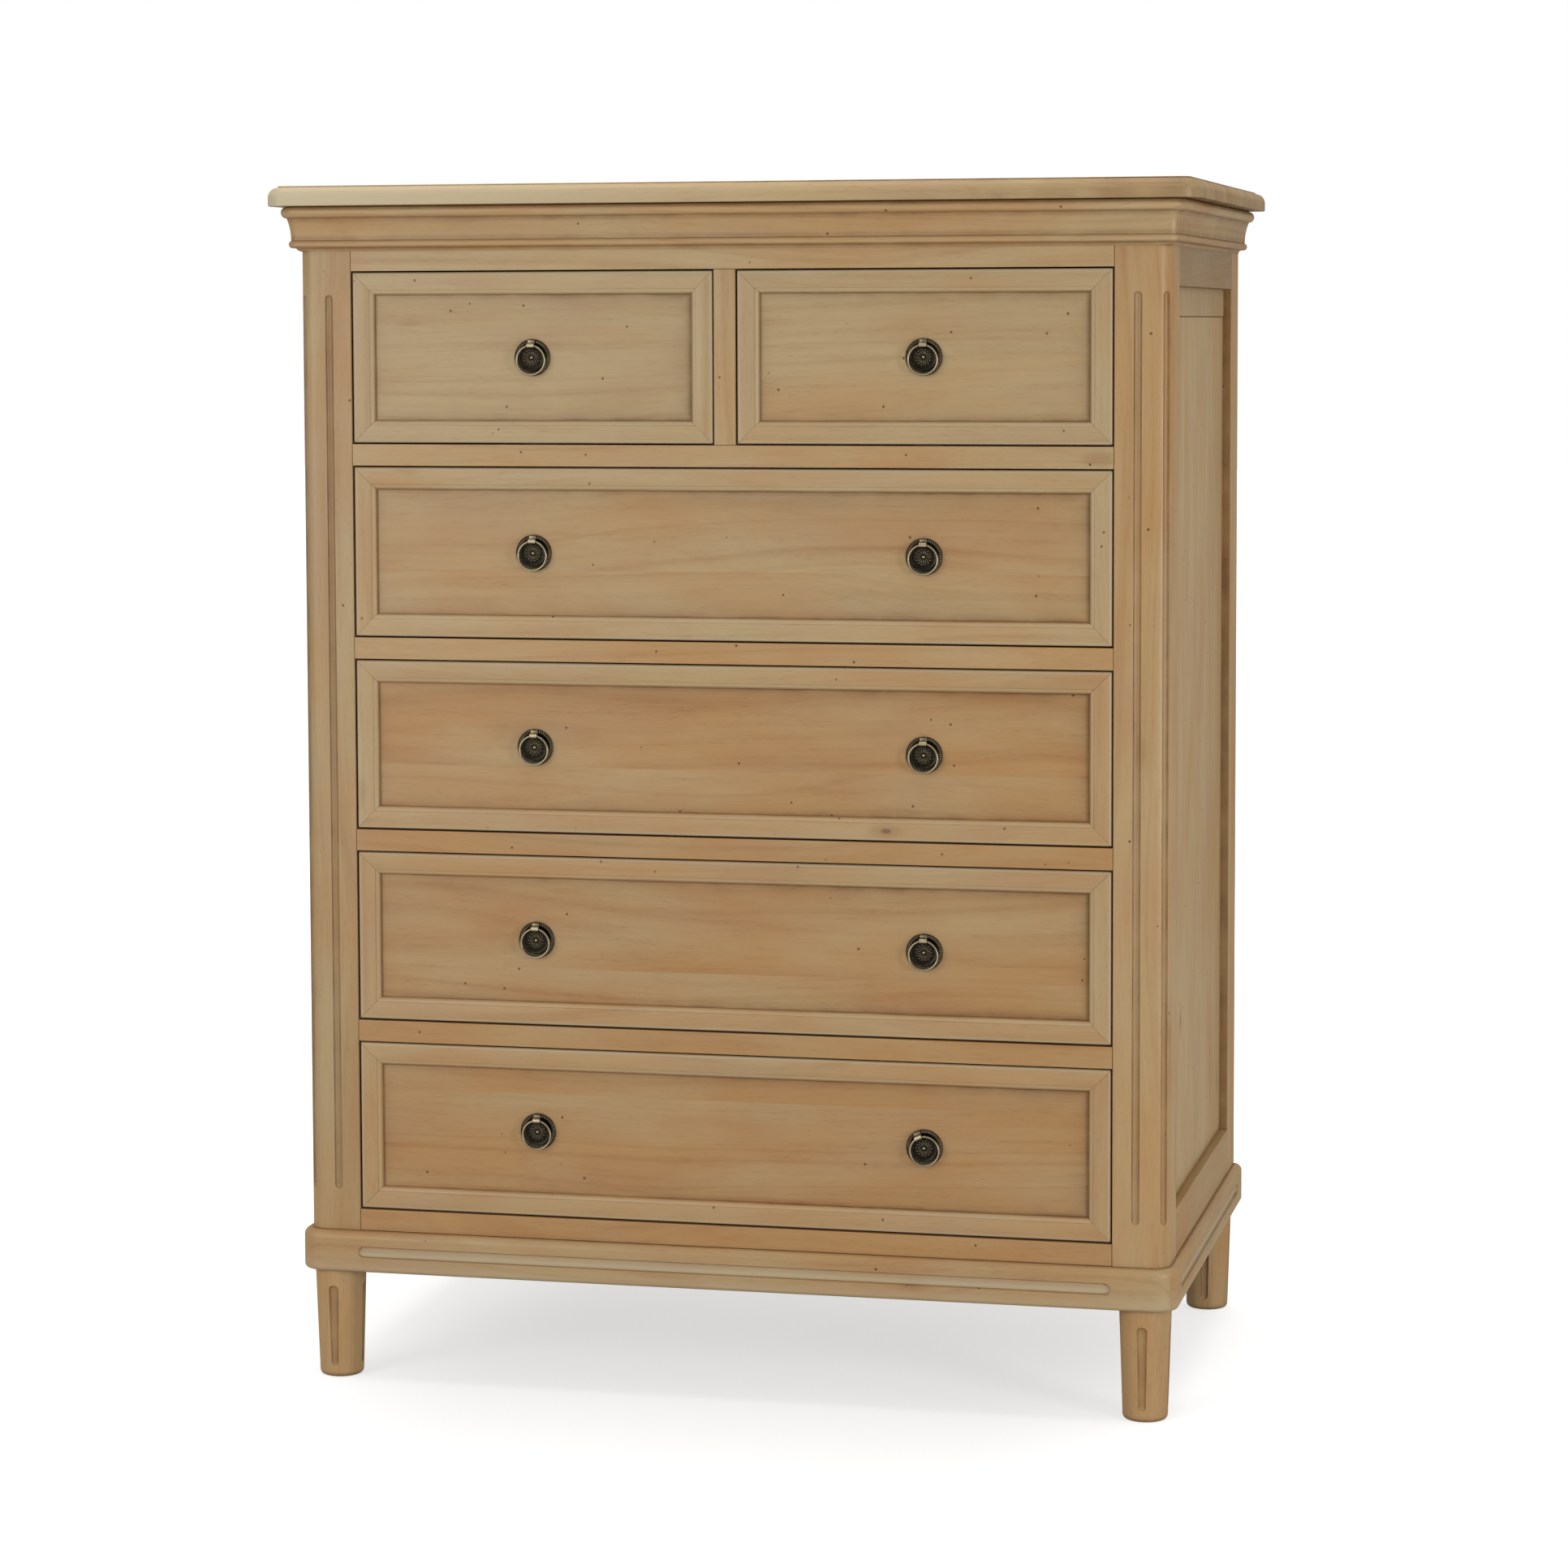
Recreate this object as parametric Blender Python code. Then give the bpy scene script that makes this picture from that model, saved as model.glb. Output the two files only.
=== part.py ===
"""Tallboy with two small drawers over four full-width ones.

A frame-and-panel case with fluted corner posts stands on a plinth frame with turned, fluted legs.
It carries a moulded cornice and top board. The drawers are dovetailed boxes that run on dust
boards between side guides, and each is opened by drop-ring pulls.

Metres, +Z up. The front faces -Y, and the origin is on the floor under the middle of the top board.
"""
import math

import bmesh
import bpy
from mathutils import Matrix, Vector

# Clearances
GAP = 0.0003
OVERRUN = 0.003
FUSE = 0.002

# Case
CASE_WIDTH = 1.020
CASE_DEPTH = 0.610
POST_WIDTH = 0.064
POST_DEPTH = 0.064
CASE_CORNER_RADIUS = 0.020
CORNER_STEPS = 5
ROWS = 5
ROW_HEIGHT = 0.200
RAIL_HEIGHT = 0.025
BOTTOM_RAIL_HEIGHT = 0.0255
TOP_RAIL_HEIGHT = 0.075
TOP_RAIL_THICKNESS = 0.022
STILE_WIDTH = 0.025
STILE_DEPTH = 0.030

# Tenons and grooves that join the case
TENON_LENGTH = 0.020
TENON_THICKNESS = 0.010
TENON_SETBACK = 0.006
TENON_SHOULDER = 0.006
STUB_TENON_LENGTH = 0.008
PANEL_GROOVE_DEPTH = 0.008
SIDE_TENON_SHOULDER = PANEL_GROOVE_DEPTH + FUSE

# Flutes on the front posts
FLUTE_WIDTH = 0.0087
FLUTE_DEPTH = 0.0032
FLUTE_FROM_OPENING = 0.0265
FLUTE_ABOVE_OPENING = 0.0235
FLUTE_BELOW_OPENING = 0.0260

# Sides and back
SIDE_RAIL_THICKNESS = 0.022
SIDE_TOP_RAIL_HEIGHT = 0.0965
SIDE_BOTTOM_RAIL_HEIGHT = 0.055
PANEL_THICKNESS = 0.009
PANEL_RECESS = 0.010
PANEL_SEAM_DROP = 0.034
PANEL_SEAM_WIDTH = 0.0016
PANEL_SEAM_DEPTH = 0.0010
BACK_PANEL_THICKNESS = 0.008
BACK_REBATE_WIDTH = 0.012

# Dust boards, side guides and drawer stops
DUST_BOARD_THICKNESS = 0.012
GUIDE_HEIGHT = 0.018
STOP_WIDTH = 0.030
STOP_DEPTH = 0.015
STOP_HEIGHT = 0.005

# Top board
TOP_THICKNESS = 0.0235
TOP_SIDE_OVERHANG = 0.033
TOP_FRONT_OVERHANG = 0.026
TOP_CORNER_RADIUS = 0.022
TOP_OVOLO_RADIUS = 0.0096
TOP_OVOLO_STEPS = 4
TOP_FILLET = 0.0018

# Cornice, each projection measured out from the case
CORNICE_BEAD_HEIGHT = 0.0137
CORNICE_BEAD_PROJECTION = 0.0198
CORNICE_FACE_HEIGHT = 0.0255
CORNICE_FACE_TOP_PROJECTION = 0.0129
CORNICE_FACE_FOOT_PROJECTION = 0.0081
CORNICE_FACE_HOLLOW = 0.0009
CORNICE_LOWER_BEAD_HEIGHT = 0.0088
CORNICE_LOWER_BEAD_PROJECTION = 0.0110
CORNICE_COVE_RADIUS = 0.0040
BEAD_STEPS = 4

# Plinth frame
PLINTH_HEIGHT = 0.0485
PLINTH_PROJECTION = 0.010
PLINTH_RAIL_WIDTH = 0.076
PLINTH_CORNER_RADIUS = 0.027
PLINTH_TOP_RADIUS = 0.009
PLINTH_FOOT_RADIUS = 0.005
PLINTH_EDGE_STEPS = 3
PLINTH_BACK_THICKNESS = 0.022
PLINTH_GROOVE_WIDTH = 0.0130
PLINTH_GROOVE_DEPTH = 0.0035
PLINTH_GROOVE_DROP = 0.0240
PLINTH_SIDE_GROOVE_MARGIN = 0.040

# Legs
LEG_LENGTH = 0.130
LEG_TOP_RADIUS = 0.0300
LEG_FOOT_RADIUS = 0.0258
LEG_FOOT_ROUND = 0.0055
LEG_SIDE_INSET = 0.0295
LEG_FRONT_INSET = 0.028
LEG_BACK_INSET = 0.031
LEG_SEGMENTS = 20
LEG_FLUTE_RADIUS = 0.0052
LEG_FLUTE_TOP_DEPTH = 0.0042
LEG_FLUTE_FOOT_DEPTH = 0.0022
LEG_FLUTE_TOP_MARGIN = 0.019
LEG_FLUTE_FOOT_MARGIN = 0.019
LEG_DOWEL_RADIUS = 0.008
LEG_DOWEL_LENGTH = 0.030

# Drawer fronts: the frame profile runs in from the edge and back from the face
FRONT_THICKNESS = 0.022
FRONT_INSET = 0.0008
FRONT_EDGE_GAP = 0.0015
FRONT_ARRIS = 0.0028
FRAME_FLAT = 0.0205
FRAME_WIDTH = 0.0265
FRAME_RECESS = 0.0070
FRAME_QUIRK = 0.0008
FRAME_OVOLO_STEPS = 4

# Drawer boxes
BOX_BACK_ROOM = 0.040
BOX_DEPTH = CASE_DEPTH - BOX_BACK_ROOM
BOX_SIDE_THICKNESS = 0.012
BOX_TOP_CLEARANCE = 0.008
BOX_BACK_DROP = 0.010
BOX_BOTTOM_THICKNESS = 0.006
BOX_BOTTOM_RISE = 0.010
BOX_TONGUE_LENGTH = 0.006
BOX_TONGUE_MARGIN = 0.003
TAILS = 3
TAIL_LENGTH = 0.012
TAIL_ROOT_HALF = 0.0150
TAIL_TIP_HALF = 0.0180

# Drop-ring pulls, each height measured out from the drawer's panel
PLATE_RADIUS = 0.0210
PLATE_EDGE_HEIGHT = 0.0014
PLATE_RIM_HEIGHT = 0.0026
PLATE_RIM_CREST_RADIUS = 0.0197
PLATE_RIM_FOOT_RADIUS = 0.0164
DISH_CREST_RADIUS = 0.0148
DISH_CREST_HEIGHT = 0.0048
DISH_FLOOR_RADIUS = 0.0115
DISH_FLOOR_HEIGHT = 0.0042
ROSETTE_RADIUS = 0.0092
ROSETTE_HEIGHT = 0.0050
BOSS_RADIUS = 0.0018
BOSS_HEIGHT = 0.0056
PLATE_SEGMENTS = 16
RING_RADIUS = 0.0167
RING_WIRE_RADIUS = 0.0012
RING_STANDOFF = 0.0082
RING_DROP = 0.0030
RING_SEGMENTS = 18
RING_SIDES = 6
EYE_WIDTH = 0.0078
EYE_CLEARANCE = 0.0003
EYE_WALL = 0.0010
EYE_SIDES = 10
STRAP_WIDTH = 0.0072
STRAP_TOP = 0.0202
STRAP_HEIGHT = 0.0066
BOLT_RADIUS = 0.0020
BOLT_HOLE_RADIUS = 0.0024
BOLT_SIDES = 6
NUT_RADIUS = 0.0045
NUT_THICKNESS = 0.0035
BOLT_END = 0.0020
# The lower right pull has turned on its bolt, so its ring hangs askew
TURNED_PULL = (5, 1)
TURNED_PULL_ANGLE = math.radians(-25)

# Places that follow from the sizes above
FRONT = TOP_FRONT_OVERHANG - (CASE_DEPTH + TOP_FRONT_OVERHANG) / 2
BACK = FRONT + CASE_DEPTH
HALF_CASE = CASE_WIDTH / 2
HALF_OPENING = HALF_CASE - POST_WIDTH
PLINTH_TOP = LEG_LENGTH + PLINTH_HEIGHT
CASE_BOTTOM = PLINTH_TOP + GAP
LOWEST_OPENING = PLINTH_TOP + BOTTOM_RAIL_HEIGHT
HIGHEST_OPENING = LOWEST_OPENING + ROWS * ROW_HEIGHT + (ROWS - 1) * RAIL_HEIGHT
TOP_BOTTOM = HIGHEST_OPENING + TOP_RAIL_HEIGHT
CASE_TOP = TOP_BOTTOM - GAP
FRONT_POST_BACK = FRONT + POST_DEPTH
REAR_POST_FRONT = BACK - POST_DEPTH
PANEL_OUTSIDE = HALF_CASE - PANEL_RECESS
PANEL_INSIDE = PANEL_OUTSIDE - PANEL_THICKNESS
BACK_PANEL_FRONT = BACK - BACK_PANEL_THICKNESS
SMALL_OPENING_WIDTH = HALF_OPENING - STILE_WIDTH / 2
PULL_OFFSET = (HALF_OPENING + STILE_WIDTH / 2) / 2
SIDE_TOP_RAIL_BOTTOM = TOP_BOTTOM - SIDE_TOP_RAIL_HEIGHT
SIDE_BOTTOM_RAIL_TOP = PLINTH_TOP + SIDE_BOTTOM_RAIL_HEIGHT
EYE_SAG = RING_RADIUS - math.sqrt(RING_RADIUS ** 2 - (EYE_WIDTH / 2) ** 2)
EYE_HOLE_RADIUS = RING_WIRE_RADIUS + EYE_SAG + EYE_CLEARANCE
EYE_RADIUS = EYE_HOLE_RADIUS + EYE_WALL
HINGE_HEIGHT = RING_RADIUS - RING_DROP
SIDES = {"left": -1, "right": 1}


def row_bottom(row):
    """The height of the floor of a drawer opening, with row 1 at the top."""
    return LOWEST_OPENING + (ROWS - row) * (ROW_HEIGHT + RAIL_HEIGHT)


def row_top(row):
    return row_bottom(row) + ROW_HEIGHT


def material(name, colour, roughness, metallic=0.0):
    made = bpy.data.materials.get(name)
    if made is None:
        made = bpy.data.materials.new(name)
        made.use_nodes = True
        shader = made.node_tree.nodes["Principled BSDF"]
        shader.inputs["Base Color"].default_value = (*colour, 1.0)
        shader.inputs["Roughness"].default_value = roughness
        shader.inputs["Metallic"].default_value = metallic
        made.diffuse_color = (*colour, 1.0)
    return made


def case_wood():
    return material("case_wood", (0.42, 0.29, 0.16), 0.45)


def panel_wood():
    return material("panel_wood", (0.44, 0.31, 0.18), 0.45)


def drawer_wood():
    return material("drawer_wood", (0.60, 0.47, 0.31), 0.6)


def back_wood():
    return material("back_wood", (0.52, 0.40, 0.27), 0.7)


def plate_bronze():
    return material("plate_bronze", (0.09, 0.07, 0.045), 0.4, 1.0)


def ring_brass():
    return material("ring_brass", (0.38, 0.29, 0.17), 0.32, 1.0)


def mesh_object(name, bm, finish=None):
    """Closes a bmesh into an object whose faces point out."""
    bmesh.ops.remove_doubles(bm, verts=bm.verts, dist=GAP / 100)
    bmesh.ops.recalc_face_normals(bm, faces=bm.faces)
    mesh = bpy.data.meshes.new(name)
    bm.to_mesh(mesh)
    bm.free()
    made = bpy.data.objects.new(name, mesh)
    bpy.context.collection.objects.link(made)
    if finish:
        mesh.materials.append(finish)
    return made


def loft(name, loops, finish=None):
    """A closed solid through loops of equally many points, with a flat cap on each end."""
    bm = bmesh.new()
    rings = [[bm.verts.new(point) for point in loop] for loop in loops]
    count = len(rings[0])
    for lower, upper in zip(rings, rings[1:]):
        for i in range(count):
            j = (i + 1) % count
            bm.faces.new((lower[i], lower[j], upper[j], upper[i]))
    bm.faces.new(rings[0])
    bm.faces.new(rings[-1])
    return mesh_object(name, bm, finish)


def block(name, x_range, y_range, z_range, finish=None):
    """A rectangular piece between two faces on each axis."""
    loops = [[(x_range[0], y_range[0], z), (x_range[1], y_range[0], z),
              (x_range[1], y_range[1], z), (x_range[0], y_range[1], z)] for z in z_range]
    return loft(name, loops, finish)


def side_span(side, low, high):
    """An X range given on the right half, mirrored for the left."""
    return (low, high) if side > 0 else (-high, -low)


def turned(name, profile, segments, finish=None):
    """A solid turned about Z from (radius, height) points, with flat ends."""
    loops = []
    for radius, height in profile:
        turns = [2 * math.pi * i / segments for i in range(segments)]
        loops.append([(radius * math.cos(turn), radius * math.sin(turn), height) for turn in turns])
    return loft(name, loops, finish)


def arc(centre, radius, start, end, steps):
    """Points on a circle, with both ends, for angles in degrees."""
    turns = [math.radians(start + (end - start) * i / steps) for i in range(steps + 1)]
    return [(centre[0] + radius * math.cos(turn), centre[1] + radius * math.sin(turn)) for turn in turns]


def aim(piece, start, end):
    """Moves a piece made along +Z from the origin, so that it runs from start towards end."""
    direction = Vector(end) - Vector(start)
    turn = direction.to_track_quat("Z", "Y").to_matrix().to_4x4()
    piece.data.transform(Matrix.Translation(start) @ turn)


def round_nosed_cutter(start, end, radius, sides=12, nose_steps=3):
    """A rod with round ends, as a router leaves a stopped flute; start and end are its tips."""
    length = (Vector(end) - Vector(start)).length
    nose = arc((0.0, radius), radius, -90, 0, nose_steps)[1:]
    tail = arc((0.0, length - radius), radius, 0, 90, nose_steps)[:-1]
    tip = radius * math.cos(math.radians(90 * (nose_steps - 1) / nose_steps)) * GAP / radius
    profile = [(tip, 0.0)] + nose + tail + [(tip, length)]
    rod = turned("cutter", profile, sides)
    aim(rod, start, end)
    return rod


def combine(target, others, operation):
    """Applies one Boolean for each of the others and removes them."""
    for other in others:
        other.hide_render = True
        other.display_type = "WIRE"
        modifier = target.modifiers.new(operation.title(), "BOOLEAN")
        modifier.operation = operation
        modifier.solver = "EXACT"
        modifier.object = other
    graph = bpy.context.evaluated_depsgraph_get()
    result = bpy.data.meshes.new_from_object(target.evaluated_get(graph))
    target.modifiers.clear()
    before = target.data
    finish = list(before.materials)
    target.data = result
    bpy.data.meshes.remove(before)
    result.name = target.name
    result.materials.clear()
    for slot in finish:
        result.materials.append(slot)
    for face in result.polygons:
        face.material_index = 0
    for other in others:
        bpy.data.objects.remove(other)
    return target


def cut(target, cutters):
    return combine(target, cutters, "DIFFERENCE")


def unite(target, pieces):
    return combine(target, pieces, "UNION")


def soften(piece, angle=35):
    """Shades a piece with rounds smooth, with its arrises kept sharp."""
    piece.data.shade_smooth()
    piece.data.set_sharp_from_angle(angle=math.radians(angle))


def flute_circle(width, depth):
    """The radius that cuts a flute of this width and depth."""
    return (width ** 2 / 4 + depth ** 2) / (2 * depth)


def front_path(half_width, front, radius, offset, steps=CORNER_STEPS):
    """Plan points from the back left, round two front corners, to the back right."""
    reach = radius + offset
    left = arc((-half_width + radius, front + radius), reach, 180, 270, steps)
    right = arc((half_width - radius, front + radius), reach, 270, 360, steps)
    return [(-half_width - offset, BACK)] + left + right + [(half_width + offset, BACK)]


def rail_tenon(name, side, z_low, z_high):
    """The tenon of a front rail, as X, Y and Z ranges."""
    x_range = side_span(side, HALF_OPENING - GAP - FUSE, HALF_OPENING + TENON_LENGTH - GAP)
    y_range = (FRONT + TENON_SETBACK, FRONT + TENON_SETBACK + TENON_THICKNESS)
    return block(name, x_range, y_range, (z_low + TENON_SHOULDER, z_high - TENON_SHOULDER))


def rail_mortise(name, side, z_low, z_high):
    """The pocket for a front rail's tenon, with the joint's clearance all round."""
    x_range = side_span(side, HALF_OPENING - OVERRUN, HALF_OPENING + TENON_LENGTH)
    y_range = (FRONT + TENON_SETBACK - GAP, FRONT + TENON_SETBACK + TENON_THICKNESS + GAP)
    return block(name, x_range, y_range, (z_low + TENON_SHOULDER - GAP, z_high - TENON_SHOULDER + GAP))


def front_rail_levels():
    """The height ranges of every front rail, from the bottom one to the top one."""
    levels = [(CASE_BOTTOM, LOWEST_OPENING)]
    for row in range(ROWS, 1, -1):
        levels.append((row_top(row), row_bottom(row - 1)))
    levels.append((HIGHEST_OPENING, CASE_TOP))
    return levels


def side_rail_levels():
    return {"bottom": (CASE_BOTTOM, SIDE_BOTTOM_RAIL_TOP), "top": (SIDE_TOP_RAIL_BOTTOM, CASE_TOP)}


def side_tenon_faces(side):
    """The X range of a side rail's tenon."""
    outside = HALF_CASE - TENON_SETBACK
    return side_span(side, outside - TENON_THICKNESS, outside)


def side_mortises(side, post_face, direction):
    """Pockets in a post for the side rails, cut from its face towards -Y or +Y."""
    x_low, x_high = side_tenon_faces(side)
    y_range = sorted((post_face - direction * OVERRUN, post_face + direction * TENON_LENGTH))
    cutters = []
    for z_low, z_high in side_rail_levels().values():
        z_range = (z_low + SIDE_TENON_SHOULDER - GAP, z_high - SIDE_TENON_SHOULDER + GAP)
        cutters.append(block("cutter", (x_low - GAP, x_high + GAP), y_range, z_range))
    return cutters


def panel_groove(side, post_face, direction):
    """The groove in a post that holds the edge of a side panel."""
    x_range = side_span(side, PANEL_INSIDE - GAP, PANEL_OUTSIDE + GAP)
    y_range = sorted((post_face - direction * OVERRUN, post_face + direction * PANEL_GROOVE_DEPTH))
    z_range = (SIDE_BOTTOM_RAIL_TOP - PANEL_GROOVE_DEPTH, SIDE_TOP_RAIL_BOTTOM + PANEL_GROOVE_DEPTH)
    return block("cutter", x_range, y_range, z_range)


def post_flutes(side):
    """One flute on the front face and one on the rounded corner."""
    radius = flute_circle(FLUTE_WIDTH, FLUTE_DEPTH)
    stand_off = radius - FLUTE_DEPTH
    low = LOWEST_OPENING + FLUTE_ABOVE_OPENING
    high = HIGHEST_OPENING - FLUTE_BELOW_OPENING
    face_x = side * (HALF_OPENING + FLUTE_FROM_OPENING)
    face_y = FRONT - stand_off
    reach = (CASE_CORNER_RADIUS + stand_off) * math.cos(math.radians(45))
    corner_x = side * (HALF_CASE - CASE_CORNER_RADIUS + reach)
    corner_y = FRONT + CASE_CORNER_RADIUS - reach
    places = ((face_x, face_y), (corner_x, corner_y))
    return [round_nosed_cutter((x, y, low), (x, y, high), radius) for x, y in places]


def make_front_post(name, side):
    corner = arc((HALF_CASE - CASE_CORNER_RADIUS, FRONT + CASE_CORNER_RADIUS), CASE_CORNER_RADIUS,
                 270, 360, CORNER_STEPS)
    outline = [(HALF_OPENING, FRONT)] + corner
    outline += [(HALF_CASE, FRONT_POST_BACK), (HALF_OPENING, FRONT_POST_BACK)]
    loops = [[(side * x, y, z) for x, y in outline] for z in (CASE_BOTTOM, CASE_TOP)]
    post = loft(name, loops, case_wood())
    cutters = post_flutes(side)
    cutters += [rail_mortise("cutter", side, low, high) for low, high in front_rail_levels()]
    cutters += side_mortises(side, FRONT_POST_BACK, -1)
    cutters.append(panel_groove(side, FRONT_POST_BACK, -1))
    cut(post, cutters)
    soften(post)


def make_rear_post(name, side):
    """A plain square post, rebated inside for the back panel."""
    post = block(name, side_span(side, HALF_OPENING, HALF_CASE), (REAR_POST_FRONT, BACK),
                 (CASE_BOTTOM, CASE_TOP), case_wood())
    cutters = side_mortises(side, REAR_POST_FRONT, 1)
    cutters.append(panel_groove(side, REAR_POST_FRONT, 1))
    rebate_x = side_span(side, HALF_OPENING - OVERRUN, HALF_OPENING + BACK_REBATE_WIDTH)
    cutters.append(block("cutter", rebate_x, (BACK_PANEL_FRONT - GAP, BACK + OVERRUN),
                         (CASE_BOTTOM - OVERRUN, CASE_TOP + OVERRUN)))
    cut(post, cutters)


def make_side_rail(name, side, level):
    z_low, z_high = side_rail_levels()[level]
    y_low = FRONT_POST_BACK + GAP
    y_high = REAR_POST_FRONT - GAP
    rail = block(name, side_span(side, HALF_CASE - SIDE_RAIL_THICKNESS, HALF_CASE),
                 (y_low, y_high), (z_low, z_high), case_wood())
    tenon_z = (z_low + SIDE_TENON_SHOULDER, z_high - SIDE_TENON_SHOULDER)
    reach = TENON_LENGTH - GAP
    unite(rail, [
        block("tenon", side_tenon_faces(side), (FRONT_POST_BACK - reach, y_low + FUSE), tenon_z),
        block("tenon", side_tenon_faces(side), (y_high - FUSE, REAR_POST_FRONT + reach), tenon_z)])
    if level == "top":
        groove_z = (z_low - OVERRUN, z_low + PANEL_GROOVE_DEPTH)
    else:
        groove_z = (z_high - PANEL_GROOVE_DEPTH, z_high + OVERRUN)
    groove_x = side_span(side, PANEL_INSIDE - GAP, PANEL_OUTSIDE + GAP)
    cut(rail, [block("cutter", groove_x, (y_low - OVERRUN, y_high + OVERRUN), groove_z)])


def make_side_panel(name, side):
    """A flat panel held in grooves, with a fine seam below the top rail."""
    grip = PANEL_GROOVE_DEPTH - GAP
    y_range = (FRONT_POST_BACK - grip, REAR_POST_FRONT + grip)
    z_range = (SIDE_BOTTOM_RAIL_TOP - grip, SIDE_TOP_RAIL_BOTTOM + grip)
    panel = block(name, side_span(side, PANEL_INSIDE, PANEL_OUTSIDE), y_range, z_range, panel_wood())
    seam = SIDE_TOP_RAIL_BOTTOM - PANEL_SEAM_DROP
    half = PANEL_SEAM_WIDTH / 2
    section = [(PANEL_OUTSIDE + PANEL_SEAM_DEPTH, seam - 2 * half), (PANEL_OUTSIDE - PANEL_SEAM_DEPTH, seam),
               (PANEL_OUTSIDE + PANEL_SEAM_DEPTH, seam + 2 * half)]
    ends = (y_range[0] - OVERRUN, y_range[1] + OVERRUN)
    cut(panel, [loft("cutter", [[(side * x, y, z) for x, z in section] for y in ends])])


def make_back_panel():
    reach = HALF_OPENING + BACK_REBATE_WIDTH - GAP
    block("back_panel", (-reach, reach), (BACK_PANEL_FRONT, BACK), (CASE_BOTTOM, CASE_TOP), back_wood())


def stile_tenon_ranges(clearance):
    """X and Y ranges of the centre stile's stub tenons."""
    half = TENON_THICKNESS / 2 + clearance
    middle = FRONT + TENON_SETBACK + TENON_THICKNESS / 2
    return (-half, half), (middle - half, middle + half)


def make_top_rail():
    z_low, z_high = front_rail_levels()[-1]
    rail = block("top_rail", (GAP - HALF_OPENING, HALF_OPENING - GAP),
                 (FRONT, FRONT + TOP_RAIL_THICKNESS), (z_low, z_high), case_wood())
    unite(rail, [rail_tenon("tenon", side, z_low, z_high) for side in SIDES.values()])
    x_range, y_range = stile_tenon_ranges(GAP)
    cut(rail, [block("cutter", x_range, y_range, (z_low - OVERRUN, z_low + STUB_TENON_LENGTH))])


def make_centre_stile():
    half = STILE_WIDTH / 2
    z_low = row_bottom(1) + GAP
    z_high = row_top(1) - GAP
    stile = block("centre_stile", (-half, half), (FRONT, FRONT + STILE_DEPTH), (z_low, z_high), case_wood())
    x_range, y_range = stile_tenon_ranges(0)
    reach = STUB_TENON_LENGTH - GAP
    unite(stile, [
        block("tenon", x_range, y_range, (row_bottom(1) - reach, z_low + FUSE)),
        block("tenon", x_range, y_range, (z_high - FUSE, row_top(1) + reach))])


def dust_board_outline(wide):
    """Plan of a dust board: as wide as the opening beside the posts, and wider between them."""
    narrow = HALF_OPENING - GAP
    front = FRONT_POST_BACK - FUSE
    right = [(narrow, front), (narrow, FRONT_POST_BACK + GAP), (wide, FRONT_POST_BACK + GAP),
             (wide, REAR_POST_FRONT - GAP), (narrow, REAR_POST_FRONT - GAP), (narrow, BACK_PANEL_FRONT - GAP)]
    left = [(-x, y) for x, y in reversed(right)]
    return right + left


def make_divider(name, z_low, z_high, centre_guide=False, side_face=PANEL_INSIDE):
    """A front rail with its dust board, side guides and drawer stops, which glue up as one frame."""
    wide = side_face - GAP
    rail = block(name, (GAP - HALF_OPENING, HALF_OPENING - GAP), (FRONT, FRONT_POST_BACK),
                 (z_low, z_high), case_wood())
    board_z = (z_high - DUST_BOARD_THICKNESS, z_high)
    board = loft("board", [[(x, y, z) for x, y in dust_board_outline(wide)] for z in board_z])
    pieces = [rail_tenon("tenon", side, z_low, z_high) for side in SIDES.values()]
    pieces.append(board)
    guide_top = z_high + GUIDE_HEIGHT
    guide_root = z_high - FUSE
    for side in SIDES.values():
        pieces.append(block("guide", side_span(side, HALF_OPENING, wide),
                            (FRONT_POST_BACK + GAP, REAR_POST_FRONT - GAP), (guide_root, guide_top)))
        stop_y = FRONT + FRONT_INSET + FRONT_THICKNESS + GAP
        stop_x = side_span(side, PULL_OFFSET - STOP_WIDTH / 2, PULL_OFFSET + STOP_WIDTH / 2)
        pieces.append(block("stop", stop_x, (stop_y, stop_y + STOP_DEPTH),
                            (guide_root, z_high + STOP_HEIGHT)))
    if centre_guide:
        half = STILE_WIDTH / 2
        pieces.append(block("guide", (-half, half), (FRONT + STILE_DEPTH + GAP, BACK_PANEL_FRONT - GAP),
                            (guide_root, guide_top)))
    unite(rail, pieces)
    if centre_guide:
        x_range, y_range = stile_tenon_ranges(GAP)
        cut(rail, [block("cutter", x_range, y_range, (z_high - STUB_TENON_LENGTH, z_high + OVERRUN))])


def make_top_board():
    """The top board, with a fillet and an ovolo round its front and sides."""
    bottom = TOP_BOTTOM
    top = TOP_BOTTOM + TOP_THICKNESS
    crown = top - TOP_FILLET
    ovolo = arc((-TOP_OVOLO_RADIUS, crown - TOP_OVOLO_RADIUS), TOP_OVOLO_RADIUS, 0, 90, TOP_OVOLO_STEPS)
    profile = [(0.0, bottom)] + ovolo + [(-TOP_OVOLO_RADIUS, top)]
    half_width = HALF_CASE + TOP_SIDE_OVERHANG
    front = FRONT - TOP_FRONT_OVERHANG
    loops = []
    for offset, z in profile:
        loops.append([(x, y, z) for x, y in front_path(half_width, front, TOP_CORNER_RADIUS, offset)])
    soften(loft("top_board", loops, case_wood()))


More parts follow.
